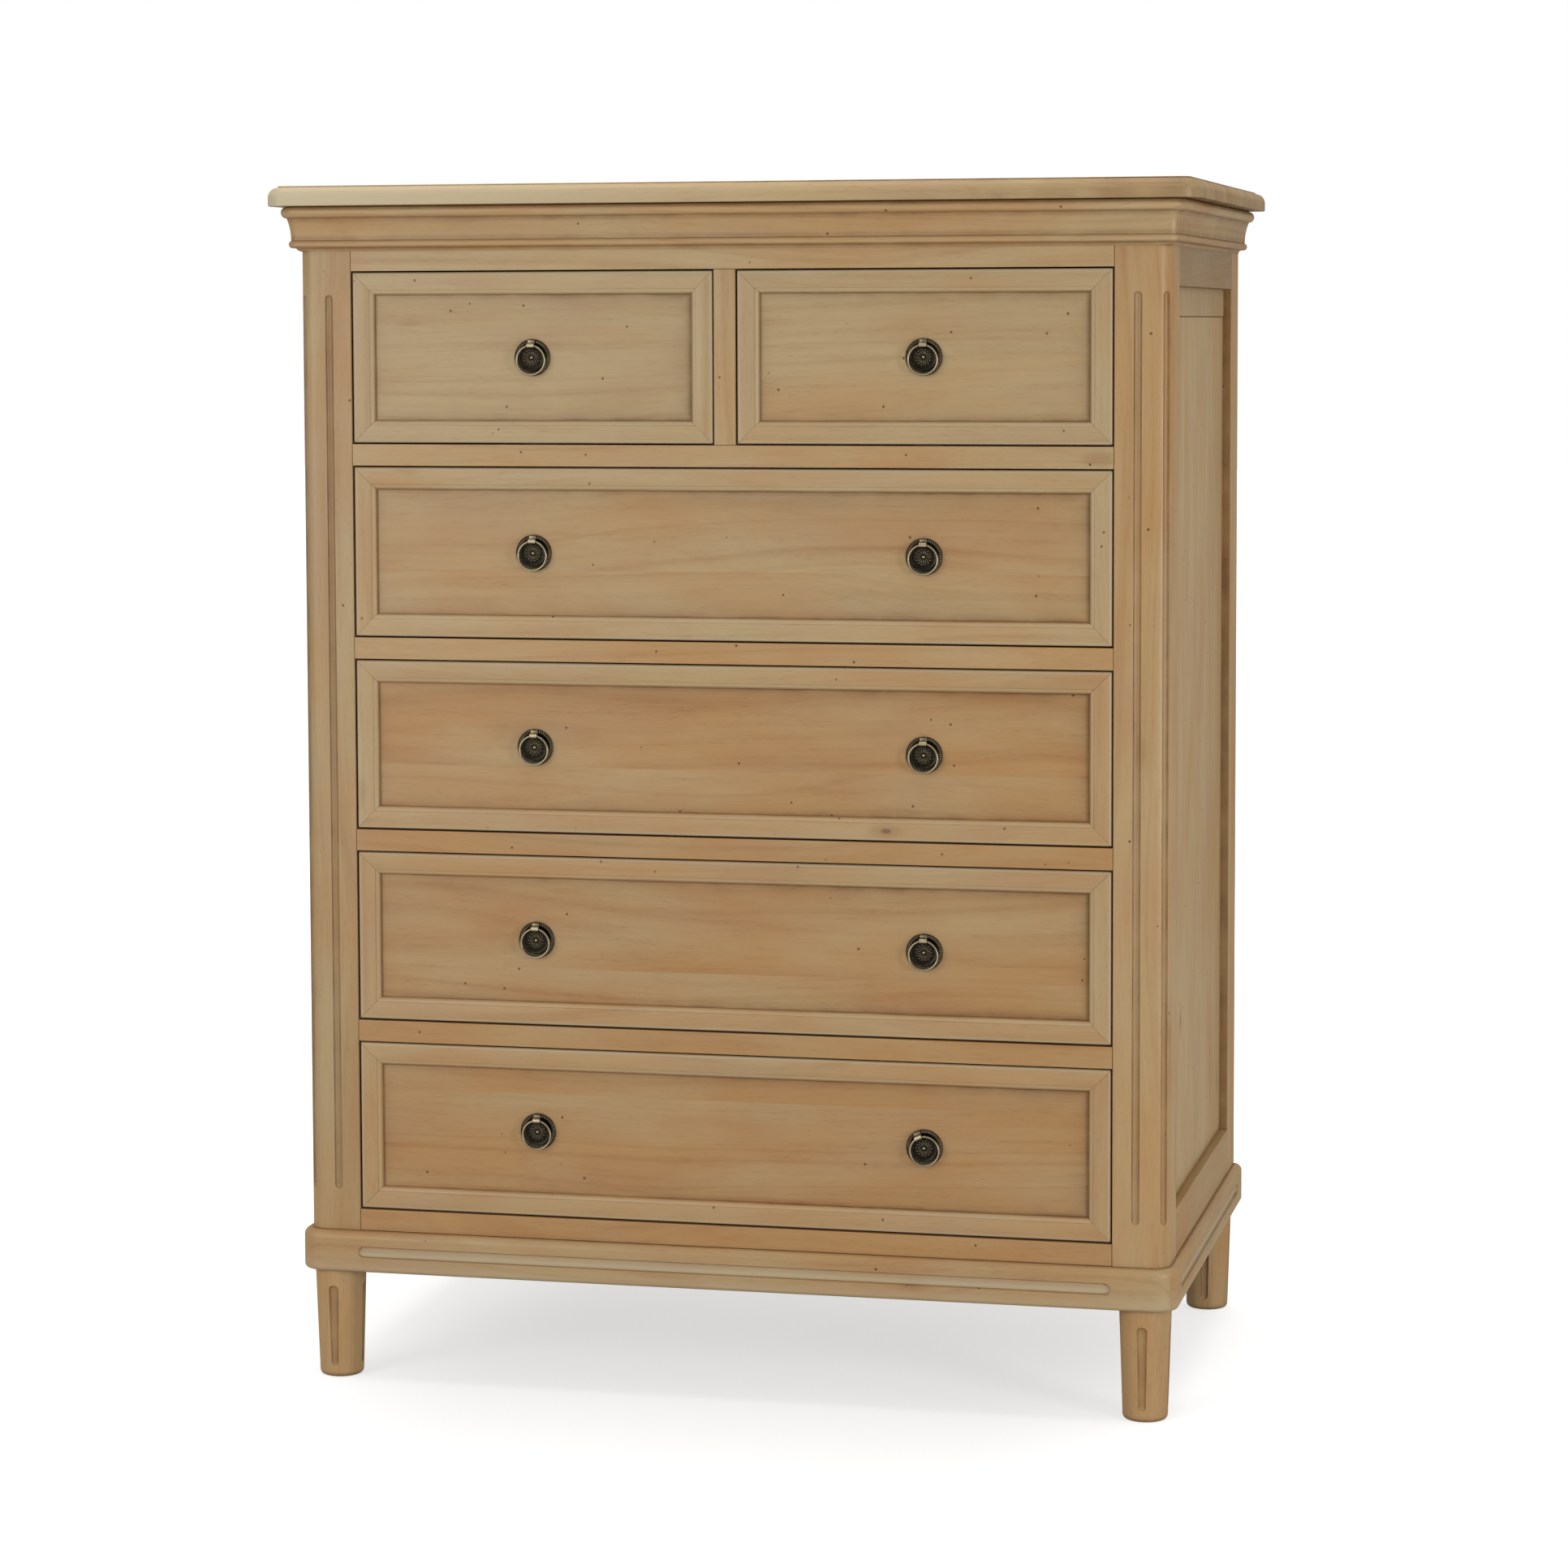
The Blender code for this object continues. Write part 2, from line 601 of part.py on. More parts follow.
def cornice_profile():
    """Section of the cornice from the top of its back, down its face, as (projection, height)."""
    z = CASE_TOP
    points = [(GAP, z)]
    half_bead = (CORNICE_BEAD_HEIGHT - GAP) / 2
    centre = (CORNICE_BEAD_PROJECTION - half_bead, z - half_bead)
    points += arc(centre, half_bead, 90, -90, BEAD_STEPS)
    z -= CORNICE_BEAD_HEIGHT - GAP
    points.append((CORNICE_FACE_TOP_PROJECTION, z))
    middle = (CORNICE_FACE_TOP_PROJECTION + CORNICE_FACE_FOOT_PROJECTION) / 2 - CORNICE_FACE_HOLLOW
    points.append((middle, z - CORNICE_FACE_HEIGHT / 2))
    z -= CORNICE_FACE_HEIGHT
    points.append((CORNICE_FACE_FOOT_PROJECTION, z))
    half_bead = CORNICE_LOWER_BEAD_HEIGHT / 2
    centre = (CORNICE_LOWER_BEAD_PROJECTION - half_bead, z - half_bead)
    points += arc(centre, half_bead, 90, -90, BEAD_STEPS)
    z -= CORNICE_LOWER_BEAD_HEIGHT
    cove = arc((GAP + CORNICE_COVE_RADIUS, z - CORNICE_COVE_RADIUS), CORNICE_COVE_RADIUS, 90, 180, 2)
    return points + cove


def make_cornice():
    """The moulding round the front and sides, mitred from one section."""
    profile = cornice_profile()
    stations = []
    for offset, z in profile:
        path = front_path(HALF_CASE, FRONT, CASE_CORNER_RADIUS, offset)
        stations.append([(x, y, z) for x, y in path])
    loops = [list(loop) for loop in zip(*stations)]
    soften(loft("cornice", loops, case_wood()))


def plinth_profile():
    """Section of a plinth rail as (offset from its outer face, height), round its outer edges."""
    top = PLINTH_TOP
    foot = LEG_LENGTH
    upper = arc((-PLINTH_TOP_RADIUS, top - PLINTH_TOP_RADIUS), PLINTH_TOP_RADIUS, 90, 0, PLINTH_EDGE_STEPS)
    lower_centre = (-PLINTH_FOOT_RADIUS, foot + PLINTH_FOOT_RADIUS)
    lower = arc(lower_centre, PLINTH_FOOT_RADIUS, 0, -90, PLINTH_EDGE_STEPS)
    return upper + lower


def plinth_loop(station, inner, joint):
    """One section of a plinth rail: its outer points from the station, its back face at inner."""
    slide = Vector((joint[0], joint[1], 0.0))
    loop = []
    for offset, z in plinth_profile():
        x, y = station(offset)
        loop.append(Vector((x, y, z)) + slide)
    loop.append(Vector((inner[0], inner[1], LEG_LENGTH)) + slide)
    loop.append(Vector((inner[0], inner[1], PLINTH_TOP)) + slide)
    return loop


def corner_station(side, turn):
    """The plinth's outer face at an angle round a front corner, from 0 at the front to 90 at the side."""
    angle = math.radians(turn)
    centre_x = HALF_CASE + PLINTH_PROJECTION - PLINTH_CORNER_RADIUS
    centre_y = FRONT - PLINTH_PROJECTION + PLINTH_CORNER_RADIUS

    def place(offset):
        reach = PLINTH_CORNER_RADIUS + offset
        return side * (centre_x + reach * math.sin(angle)), centre_y - reach * math.cos(angle)

    return place


def plinth_inner_corner(side):
    x = HALF_CASE + PLINTH_PROJECTION - PLINTH_RAIL_WIDTH
    return side * x, FRONT - PLINTH_PROJECTION + PLINTH_RAIL_WIDTH


def plinth_groove_cutter(start, end, outward):
    """A wide shallow groove with round ends along a plinth rail's face."""
    radius = flute_circle(PLINTH_GROOVE_WIDTH, PLINTH_GROOVE_DEPTH)
    lift = Vector(outward) * (radius - PLINTH_GROOVE_DEPTH)
    return round_nosed_cutter(Vector(start) + lift, Vector(end) + lift, radius, sides=16)


def leg_places():
    x = HALF_CASE - LEG_SIDE_INSET
    rows = {"front": FRONT + LEG_FRONT_INSET, "rear": BACK - LEG_BACK_INSET}
    return {f"{row}_{name}": (side * x, y) for row, y in rows.items() for name, side in SIDES.items()}


def dowel_hole(place):
    radius = LEG_DOWEL_RADIUS + GAP
    profile = [(radius, LEG_LENGTH - OVERRUN), (radius, LEG_LENGTH + LEG_DOWEL_LENGTH)]
    hole = turned("cutter", profile, LEG_SEGMENTS)
    hole.data.transform(Matrix.Translation((place[0], place[1], 0.0)))
    return hole


def make_plinth_front():
    """The front rail, mitred at both ends through the rounded corners."""
    half_turns = [45 * i / CORNER_STEPS for i in range(CORNER_STEPS + 1)]
    loops = []
    for turn in reversed(half_turns):
        loops.append(plinth_loop(corner_station(-1, turn), plinth_inner_corner(-1), (GAP, 0.0)))
    for turn in half_turns:
        loops.append(plinth_loop(corner_station(1, turn), plinth_inner_corner(1), (-GAP, 0.0)))
    rail = loft("plinth_front", loops, case_wood())
    y = FRONT - PLINTH_PROJECTION
    z = PLINTH_TOP - PLINTH_GROOVE_DROP
    cutters = [plinth_groove_cutter((-HALF_OPENING, y, z), (HALF_OPENING, y, z), (0, -1, 0))]
    cutters += [dowel_hole(place) for name, place in leg_places().items() if name.startswith("front")]
    cut(rail, cutters)
    soften(rail)


def make_plinth_side(name, side):
    """A side rail from the front mitre to the back."""
    loops = []
    for turn in [45 + 45 * i / CORNER_STEPS for i in range(CORNER_STEPS + 1)]:
        loops.append(plinth_loop(corner_station(side, turn), plinth_inner_corner(side), (0.0, GAP)))
    outside = side * (HALF_CASE + PLINTH_PROJECTION)
    inside = (plinth_inner_corner(side)[0], BACK - GAP)
    loops.append(plinth_loop(lambda offset: (outside + side * offset, BACK - GAP), inside, (0.0, GAP)))
    rail = loft(name, loops, case_wood())
    z = PLINTH_TOP - PLINTH_GROOVE_DROP
    start = (outside, FRONT + PLINTH_SIDE_GROOVE_MARGIN, z)
    end = (outside, BACK - PLINTH_SIDE_GROOVE_MARGIN, z)
    cutters = [plinth_groove_cutter(start, end, (side, 0, 0))]
    places = [place for place in leg_places().values() if place[0] * side > 0]
    cutters += [dowel_hole(place) for place in places]
    cut(rail, cutters)
    soften(rail)


def make_plinth_back():
    reach = HALF_CASE + PLINTH_PROJECTION - PLINTH_RAIL_WIDTH - GAP
    depth = (BACK - PLINTH_BACK_THICKNESS, BACK)
    block("plinth_back", (-reach, reach), depth, (LEG_LENGTH, PLINTH_TOP), case_wood())


def make_leg_mesh():
    """A turned, tapered leg with a rounded foot, a dowel on top and four flutes."""
    top = LEG_LENGTH - GAP
    foot = arc((LEG_FOOT_RADIUS - LEG_FOOT_ROUND, LEG_FOOT_ROUND), LEG_FOOT_ROUND, -90, 0, 3)
    dowel_top = LEG_LENGTH + LEG_DOWEL_LENGTH - GAP
    profile = foot + [(LEG_TOP_RADIUS, top), (LEG_DOWEL_RADIUS, top), (LEG_DOWEL_RADIUS, dowel_top)]
    leg = turned("leg", profile, LEG_SEGMENTS, case_wood())
    taper = (LEG_TOP_RADIUS - LEG_FOOT_RADIUS) / (top - LEG_FOOT_ROUND)
    low = LEG_FLUTE_FOOT_MARGIN
    high = top - LEG_FLUTE_TOP_MARGIN
    low_reach = LEG_FOOT_RADIUS + taper * (low - LEG_FOOT_ROUND) + LEG_FLUTE_RADIUS - LEG_FLUTE_FOOT_DEPTH
    high_reach = LEG_FOOT_RADIUS + taper * (high - LEG_FOOT_ROUND) + LEG_FLUTE_RADIUS - LEG_FLUTE_TOP_DEPTH
    cutters = []
    for x, y in ((1, 0), (0, 1), (-1, 0), (0, -1)):
        start = (x * low_reach, y * low_reach, low)
        end = (x * high_reach, y * high_reach, high)
        cutters.append(round_nosed_cutter(start, end, LEG_FLUTE_RADIUS, sides=10, nose_steps=2))
    cut(leg, cutters)
    soften(leg)
    return leg


def make_legs():
    first = make_leg_mesh()
    mesh = first.data
    bpy.data.objects.remove(first)
    for name, (x, y) in leg_places().items():
        leg = bpy.data.objects.new(f"leg_{name}", mesh)
        bpy.context.collection.objects.link(leg)
        leg.location = (x, y, 0.0)


def drawer_rows():
    """Every drawer as its name, row, middle in X and opening width."""
    drawers = [("1_left", 1, -PULL_OFFSET, SMALL_OPENING_WIDTH),
               ("1_right", 1, PULL_OFFSET, SMALL_OPENING_WIDTH)]
    for row in range(2, ROWS + 1):
        drawers.append((str(row), row, 0.0, 2 * HALF_OPENING))
    return drawers


def pull_sides(name):
    """The pulls of a drawer: one on a small drawer, and one each side on a wide one."""
    if name.endswith("_left"):
        return {"left": 0.0}
    if name.endswith("_right"):
        return {"right": 0.0}
    return {"left": -PULL_OFFSET, "right": PULL_OFFSET}


def frame_profile():
    """Section of a drawer front's frame as (inset from its edge, depth behind its face)."""
    points = [(0.0, FRONT_THICKNESS), (0.0, FRONT_ARRIS)]
    arris_middle = FRONT_ARRIS * (1 - math.sqrt(0.5))
    points += [(arris_middle, arris_middle)]
    points += [(FRONT_ARRIS, 0.0), (FRAME_FLAT, 0.0), (FRAME_FLAT, FRAME_QUIRK)]
    width = FRAME_WIDTH - FRAME_FLAT
    drop = FRAME_RECESS - FRAME_QUIRK
    for i in range(1, FRAME_OVOLO_STEPS + 1):
        turn = math.pi / 2 * i / FRAME_OVOLO_STEPS
        points.append((FRAME_FLAT + width * math.sin(turn), FRAME_QUIRK + drop * (1 - math.cos(turn))))
    return points


def tail_places():
    """Heights of the dovetails' middles on a drawer side."""
    height = ROW_HEIGHT - BOX_TOP_CLEARANCE - GAP
    return [GAP + height * (i + 0.5) / TAILS for i in range(TAILS)]


def tail(side, half_width, middle, clearance):
    """One dovetail, widest at its tip, or with a clearance the socket that takes it."""
    root_y = FRONT_THICKNESS + (OVERRUN if clearance else GAP + FUSE)
    tip_y = FRONT_THICKNESS - TAIL_LENGTH + GAP - clearance
    slope = (TAIL_TIP_HALF - TAIL_ROOT_HALF) / TAIL_LENGTH
    root = TAIL_TIP_HALF - slope * (root_y - tip_y) + clearance
    tip = TAIL_TIP_HALF + clearance
    section = [(tip_y, middle - tip), (root_y, middle - root), (root_y, middle + root), (tip_y, middle + tip)]
    inner = half_width - BOX_SIDE_THICKNESS - clearance
    outer = half_width + (OVERRUN if clearance else 0.0)
    return loft("tail", [[(side * x, y, z) for y, z in section] for x in (inner, outer)])


def make_drawer_front(name, width, pulls):
    """A framed drawer front, socketed behind for the box's dovetails and bottom."""
    half = width / 2 - FRONT_EDGE_GAP
    z_low = FRONT_EDGE_GAP
    z_high = ROW_HEIGHT - FRONT_EDGE_GAP
    loops = []
    for inset, depth in frame_profile():
        loops.append([(inset - half, depth, z_low + inset), (half - inset, depth, z_low + inset),
                      (half - inset, depth, z_high - inset), (inset - half, depth, z_high - inset)])
    front = loft(name, loops, panel_wood())
    cutters = [tail(side, half, middle, GAP) for side in SIDES.values() for middle in tail_places()]
    reach = half - BOX_SIDE_THICKNESS - BOX_TONGUE_MARGIN + GAP
    groove_z = (BOX_BOTTOM_RISE - GAP, BOX_BOTTOM_RISE + BOX_BOTTOM_THICKNESS + GAP)
    cutters.append(block("cutter", (-reach, reach),
                         (FRONT_THICKNESS - BOX_TONGUE_LENGTH - GAP, FRONT_THICKNESS + OVERRUN), groove_z))
    for x in pulls:
        profile = [(BOLT_HOLE_RADIUS, FRAME_RECESS - OVERRUN), (BOLT_HOLE_RADIUS, FRONT_THICKNESS + OVERRUN)]
        hole = turned("cutter", profile, BOLT_SIDES)
        aim(hole, (x, 0.0, ROW_HEIGHT / 2), (x, 1.0, ROW_HEIGHT / 2))
        cutters.append(hole)
    cut(front, cutters)
    return front


def make_drawer_box(name, width):
    """Sides with dovetails, back and bottom of a drawer, glued up as one box."""
    half = width / 2 - FRONT_EDGE_GAP
    inner = half - BOX_SIDE_THICKNESS
    y_low = FRONT_THICKNESS + GAP
    z_high = ROW_HEIGHT - BOX_TOP_CLEARANCE
    bottom_z = (BOX_BOTTOM_RISE, BOX_BOTTOM_RISE + BOX_BOTTOM_THICKNESS)
    box = block(name, (-inner - FUSE, inner + FUSE), (y_low, BOX_DEPTH - FUSE), bottom_z, drawer_wood())
    pieces = []
    for side in SIDES.values():
        board = block("side", side_span(side, inner, half), (y_low, BOX_DEPTH), (GAP, z_high))
        unite(board, [tail(side, half, middle, 0) for middle in tail_places()])
        pieces.append(board)
    back_y = (BOX_DEPTH - BOX_SIDE_THICKNESS, BOX_DEPTH - FUSE / 2)
    back_z = (bottom_z[0] + FUSE, z_high - BOX_BACK_DROP)
    pieces.append(block("back", (-inner - FUSE, inner + FUSE), back_y, back_z))
    tongue = inner - BOX_TONGUE_MARGIN
    tongue_y = (FRONT_THICKNESS - BOX_TONGUE_LENGTH, y_low + FUSE)
    pieces.append(block("tongue", (-tongue, tongue), tongue_y, bottom_z))
    unite(box, pieces)
    return box


def make_pull_plate():
    """A turned backplate with a dish and rosette, the ring's eye and strap, and its bolt and nut."""
    profile = [(PLATE_RADIUS, GAP), (PLATE_RADIUS, PLATE_EDGE_HEIGHT),
               (PLATE_RIM_CREST_RADIUS, PLATE_RIM_HEIGHT), (PLATE_RIM_FOOT_RADIUS, PLATE_RIM_HEIGHT),
               (DISH_CREST_RADIUS, DISH_CREST_HEIGHT), (DISH_FLOOR_RADIUS, DISH_FLOOR_HEIGHT),
               (ROSETTE_RADIUS, ROSETTE_HEIGHT), (BOSS_RADIUS, BOSS_HEIGHT)]
    plate = turned("pull_plate", profile, PLATE_SEGMENTS, plate_bronze())
    aim(plate, (0.0, 0.0, 0.0), (0.0, -1.0, 0.0))
    eye = turned("eye", [(EYE_RADIUS, 0.0), (EYE_RADIUS, EYE_WIDTH)], EYE_SIDES)
    aim(eye, (-EYE_WIDTH / 2, -RING_STANDOFF, HINGE_HEIGHT), (EYE_WIDTH, -RING_STANDOFF, HINGE_HEIGHT))
    root = PLATE_EDGE_HEIGHT / 2
    half_strap = STRAP_WIDTH / 2
    strap = block("strap", (-half_strap, half_strap), (-STRAP_HEIGHT, -root), (HINGE_HEIGHT, STRAP_TOP))
    nut = FRONT_THICKNESS - FRAME_RECESS + GAP
    nut_end = nut + NUT_THICKNESS
    bolt = turned("bolt", [(BOLT_RADIUS, -root), (BOLT_RADIUS, nut), (NUT_RADIUS, nut), (NUT_RADIUS, nut_end),
                           (BOLT_RADIUS, nut_end), (BOLT_RADIUS, nut_end + BOLT_END)], BOLT_SIDES)
    aim(bolt, (0.0, 0.0, 0.0), (0.0, 1.0, 0.0))
    unite(plate, [eye, strap, bolt])
    hole = turned("cutter", [(EYE_HOLE_RADIUS, -OVERRUN), (EYE_HOLE_RADIUS, EYE_WIDTH + OVERRUN)], EYE_SIDES)
    aim(hole, (-EYE_WIDTH / 2, -RING_STANDOFF, HINGE_HEIGHT), (EYE_WIDTH, -RING_STANDOFF, HINGE_HEIGHT))
    cut(plate, [hole])
    soften(plate)
    return plate


def make_pull_ring():
    """A round-wire ring, with its origin on the wire's centre at the top, where it hinges."""
    bm = bmesh.new()
    loops = []
    for i in range(RING_SEGMENTS):
        turn = 2 * math.pi * i / RING_SEGMENTS
        loop = []
        for j in range(RING_SIDES):
            around = 2 * math.pi * j / RING_SIDES
            reach = RING_RADIUS + RING_WIRE_RADIUS * math.cos(around)
            point = (reach * math.sin(turn), RING_WIRE_RADIUS * math.sin(around),
                     reach * math.cos(turn) - RING_RADIUS)
            loop.append(bm.verts.new(point))
        loops.append(loop)
    for i in range(RING_SEGMENTS):
        here = loops[i]
        ahead = loops[(i + 1) % RING_SEGMENTS]
        for j in range(RING_SIDES):
            k = (j + 1) % RING_SIDES
            bm.faces.new((here[j], here[k], ahead[k], ahead[j]))
    ring = mesh_object("pull_ring", bm, ring_brass())
    soften(ring, 80)
    return ring


def copy_of(pattern, name, parent, location, turn=0.0):
    """A copy that shares the pattern's mesh, placed under its drawer's empty."""
    made = bpy.data.objects.new(name, pattern.data)
    bpy.context.collection.objects.link(made)
    made.parent = parent
    made.location = location
    made.rotation_euler = (0.0, turn, 0.0)
    return made


def make_drawers():
    fronts = {"small": make_drawer_front("small_front", SMALL_OPENING_WIDTH, [0.0]),
              "wide": make_drawer_front("wide_front", 2 * HALF_OPENING, [-PULL_OFFSET, PULL_OFFSET])}
    boxes = {"small": make_drawer_box("small_box", SMALL_OPENING_WIDTH),
             "wide": make_drawer_box("wide_box", 2 * HALF_OPENING)}
    plate = make_pull_plate()
    ring = make_pull_ring()
    for name, row, middle, width in drawer_rows():
        size = "small" if width < HALF_OPENING else "wide"
        runner = bpy.data.objects.new(f"drawer_{name}", None)
        bpy.context.collection.objects.link(runner)
        runner.location = (middle, FRONT + FRONT_INSET, row_bottom(row))
        copy_of(fronts[size], f"drawer_front_{name}", runner, (0.0, 0.0, 0.0))
        copy_of(boxes[size], f"drawer_box_{name}", runner, (0.0, 0.0, 0.0))
        for side_name, x in pull_sides(name).items():
            turn = TURNED_PULL_ANGLE if TURNED_PULL == (row, SIDES[side_name]) else 0.0
            centre = Vector((x, FRAME_RECESS, ROW_HEIGHT / 2))
            copy_of(plate, f"pull_backplate_{row}_{side_name}", runner, centre, turn)
            hinge = Matrix.Rotation(turn, 3, "Y") @ Vector((0.0, -RING_STANDOFF, HINGE_HEIGHT))
            copy_of(ring, f"pull_ring_{row}_{side_name}", runner, centre + hinge, turn)
    for pattern in (*fronts.values(), *boxes.values(), plate, ring):
        bpy.data.objects.remove(pattern)


def make_case():
    for name, side in SIDES.items():
        make_front_post(f"post_front_{name}", side)
        make_rear_post(f"post_rear_{name}", side)
        make_side_rail(f"side_top_rail_{name}", side, "top")
        make_side_rail(f"side_bottom_rail_{name}", side, "bottom")
        make_side_panel(f"side_panel_{name}", side)
    make_back_panel()
    make_top_rail()
    make_centre_stile()
    levels = front_rail_levels()
    make_divider("bottom_board", *levels[0], side_face=HALF_CASE - SIDE_RAIL_THICKNESS)
    for row in range(1, ROWS):
        make_divider(f"divider_{row}", *levels[ROWS - row], centre_guide=(row == 1))
    make_cornice()
    make_top_board()


def make_base():
    make_plinth_front()
    for name, side in SIDES.items():
        make_plinth_side(f"plinth_{name}", side)
    make_plinth_back()
    make_legs()


def main():
    for old in list(bpy.data.objects):
        bpy.data.objects.remove(old)
    make_case()
    make_base()
    make_drawers()
    bpy.context.view_layer.update()


main()
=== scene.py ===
"""Looks for the tallboy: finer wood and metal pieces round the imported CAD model.

Metres, +Z up, and the front faces -Y, in the CAD's own frame.
"""
import random
from math import cos, degrees, hypot, pi, radians, sin, sqrt

import bmesh
import bpy
from mathutils import Matrix, Vector


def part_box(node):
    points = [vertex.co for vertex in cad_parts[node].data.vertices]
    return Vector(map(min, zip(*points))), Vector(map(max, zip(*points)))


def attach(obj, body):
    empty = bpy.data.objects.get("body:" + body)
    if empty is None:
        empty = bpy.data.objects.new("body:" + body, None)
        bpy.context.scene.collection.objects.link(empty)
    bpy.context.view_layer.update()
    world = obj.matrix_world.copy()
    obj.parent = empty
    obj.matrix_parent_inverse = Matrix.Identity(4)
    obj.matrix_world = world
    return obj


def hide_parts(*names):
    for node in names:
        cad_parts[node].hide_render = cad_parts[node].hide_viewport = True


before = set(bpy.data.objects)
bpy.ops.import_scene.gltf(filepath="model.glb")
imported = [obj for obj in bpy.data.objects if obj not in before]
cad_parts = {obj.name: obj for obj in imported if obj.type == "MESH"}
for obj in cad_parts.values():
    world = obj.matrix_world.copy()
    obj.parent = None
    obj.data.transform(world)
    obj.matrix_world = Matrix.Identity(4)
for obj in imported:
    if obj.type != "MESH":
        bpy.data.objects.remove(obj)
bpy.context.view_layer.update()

# Sign of X on each side, and each drawer with the sides its pulls are on
SIDES = {"left": -1, "right": 1}
DRAWERS = {"1_left": ["left"], "1_right": ["right"], "2": SIDES, "3": SIDES, "4": SIDES, "5": SIDES}

GAP = 0.0003
TINY = 0.0001
ARRIS = 0.0006
SHARP_ANGLE = 40

# Front posts and their flutes
CORNER_RADIUS = 0.020
FLUTE_HALF_WIDTH = 0.0044
FLUTE_DEPTH = 0.0032
FLUTE_FROM_OPENING = 0.0265
FLUTE_ABOVE_OPENING = 0.0235
FLUTE_BELOW_OPENING = 0.0260

# Top board, with the quirk above its ovolo as (inset from it, drop from the top, painted shade in the
# crease), and down its ovolo a painted highlight at the top, a band of painted shade below it and a
# slightly paler lower part
TOP_RADIUS = 0.022
OVOLO_RADIUS = 0.0115
TOP_FILLET = 0.0018
TOP_FOOT_EASE = 0.0016
TOP_EDGE_LIGHT_AND_SHADE = (0.0, -0.1, -0.2, -0.1, 0.0, 0.1, 0.2, 0.3, 0.1, -1.2, -1.2)
TOP_QUIRK = [(0.0002, TOP_FILLET - TINY, 1.0), (0.0003, 0.0005, 0.8), (0.0007, TINY, 0.3),
             (0.0012, 0.0, 0.0)]
# Painted reflection on the top board's edge, paler at the left and darker towards the right: offset, slope
# across X and limits
TOP_REFLECTION_OFFSET = -0.12
TOP_FADE = 1.15
TOP_FADE_RANGE = (-0.8, 0.6)

# Cornice, each projection measured out from the case
BEAD_HEIGHT = 0.0137
FACE_HEIGHT = 0.0255
FACE_TOP_PROJECTION = 0.0129
FACE_FOOT_PROJECTION = 0.0081
FACE_HOLLOW = 0.0012
LOWER_BEAD_HEIGHT = 0.0088
LOWER_BEAD_PROJECTION = 0.0110
COVE_RADIUS = 0.0040
CORNICE_RADIUS = 0.003

# Plinth
PLINTH_RAIL_WIDTH = 0.076
PLINTH_RADIUS = 0.027
PLINTH_TOP_RADIUS = 0.009
PLINTH_FOOT_RADIUS = 0.005
GROOVE_HALF_WIDTH = 0.0065
GROOVE_DEPTH = 0.0035
GROOVE_DROP = 0.0240
SIDE_GROOVE_MARGIN = 0.040

# Legs, whose flutes change from foot to top and are darkened by turns, partly stain and partly painted
# shade
LEG_TOP_RADIUS = 0.0300
LEG_FOOT_RADIUS = 0.0258
LEG_FOOT_ROUND = 0.0055
LEG_TOP_ROUND = 0.001
LEG_FLUTE_MARGIN = 0.019
LEG_FLUTE_FOOT = 0.014
LEG_FLUTE_NOSE = 0.005
LEG_FLUTE_HALF_WIDTHS = (0.0041, 0.0060)
LEG_FLUTE_DEPTHS = (0.0022, 0.0042)
LEG_STAIN_AND_SHADE = (0.75, 0.25)

# Rear posts, side rails and side panels
REAR_ARRIS = 0.001
LIP_ARRIS = 0.0008
SIDE_ARRIS = 0.0009
PANEL_RECESS = 0.010
PANEL_THICKNESS = 0.009
SEAM_DROP = 0.034
SEAM_GAP = 0.0005
SEAM_STEP = 0.0008

# Front rails, dust boards, guides and stops
RAIL_ARRIS = 0.0007
BOARD_THICKNESS = 0.012
GUIDE_HEIGHT = 0.018
STOP_WIDTH = 0.030
STOP_DEPTH = 0.015
STOP_HEIGHT = 0.005
HALF_STILE = 0.0125
STILE_DEPTH = 0.030

# Drawer fronts, with the frame's outer edge as (inset, depth, painted highlight on the arris), a slightly
# paler flat, and painted highlight then painted shade down its ovolo
FRONT_EDGE_GAP = 0.0015
FRAME_FLAT_START = 0.0042
FRAME_FLAT = 0.0205
FRAME_WIDTH = 0.0265
FRAME_STEP = 0.0013
FRAME_RECESS = 0.0070
FRAME_CROWN = 0.0007
FRONT_LAP = 0.0100
MITRE_GAP = 0.00016
FRAME_EDGE = [(0.0, 0.0036, 0.0), (0.0002, 0.0024, -0.2), (0.0008, 0.0012, -0.5), (0.0018, 0.0005, -0.6),
              (0.0030, 0.0002, -0.3)]
FRAME_FLAT_GLAZE = -0.08
FRAME_OVOLO_LIGHT_AND_SHADE = (-0.1, -0.3, -0.3, -0.1, 0.2, 0.5, 0.75, 0.95)

# Backplates, by the radii at which their zones end and the heights of these
PLATE_RADIUS = 0.0210
PLATE_SHARP_ANGLE = 60
BOSS_RADIUS = 0.0017
BOSS_HEIGHT = 0.0047
BOSS_SWELL = 0.0009
ROSETTE_HEIGHT = 0.0044
PETALS = 14
PETAL_ROOT = 0.0030
PETAL_TIP = 0.0076
PETAL_SWELL = 0.0006
PEARL_CIRCLE = 0.0086
PEARL_RADIUS = 0.0010
PEARLS_END = 0.0098
PEARL_HEIGHT = 0.0043
PEARL_SWELL = 0.0007
DISH_MIDDLE = 0.0115
DISH_RUB = (0.0138, 0.0147)
DISH_END = 0.0149
DISH_HEIGHT = 0.0041
DISH_HOLLOW = 0.0007
DISH_DROP = 0.0030
DISH_WALL = 0.0005
ROPE_TURNS = 46
ROPE_RADIUS = 0.0181
ROPE_HALF_WIDTH = 0.0019
ROPE_START = ROPE_RADIUS - ROPE_HALF_WIDTH
ROPE_END = ROPE_RADIUS + ROPE_HALF_WIDTH
ROPE_HEIGHT = 0.0016
ROPE_SWELL = (0.0003, 0.0011)
RIM_HEIGHT = 0.0022
RIM_FALL = 0.0008
RIM_RUB = (0.0202, 0.0209)

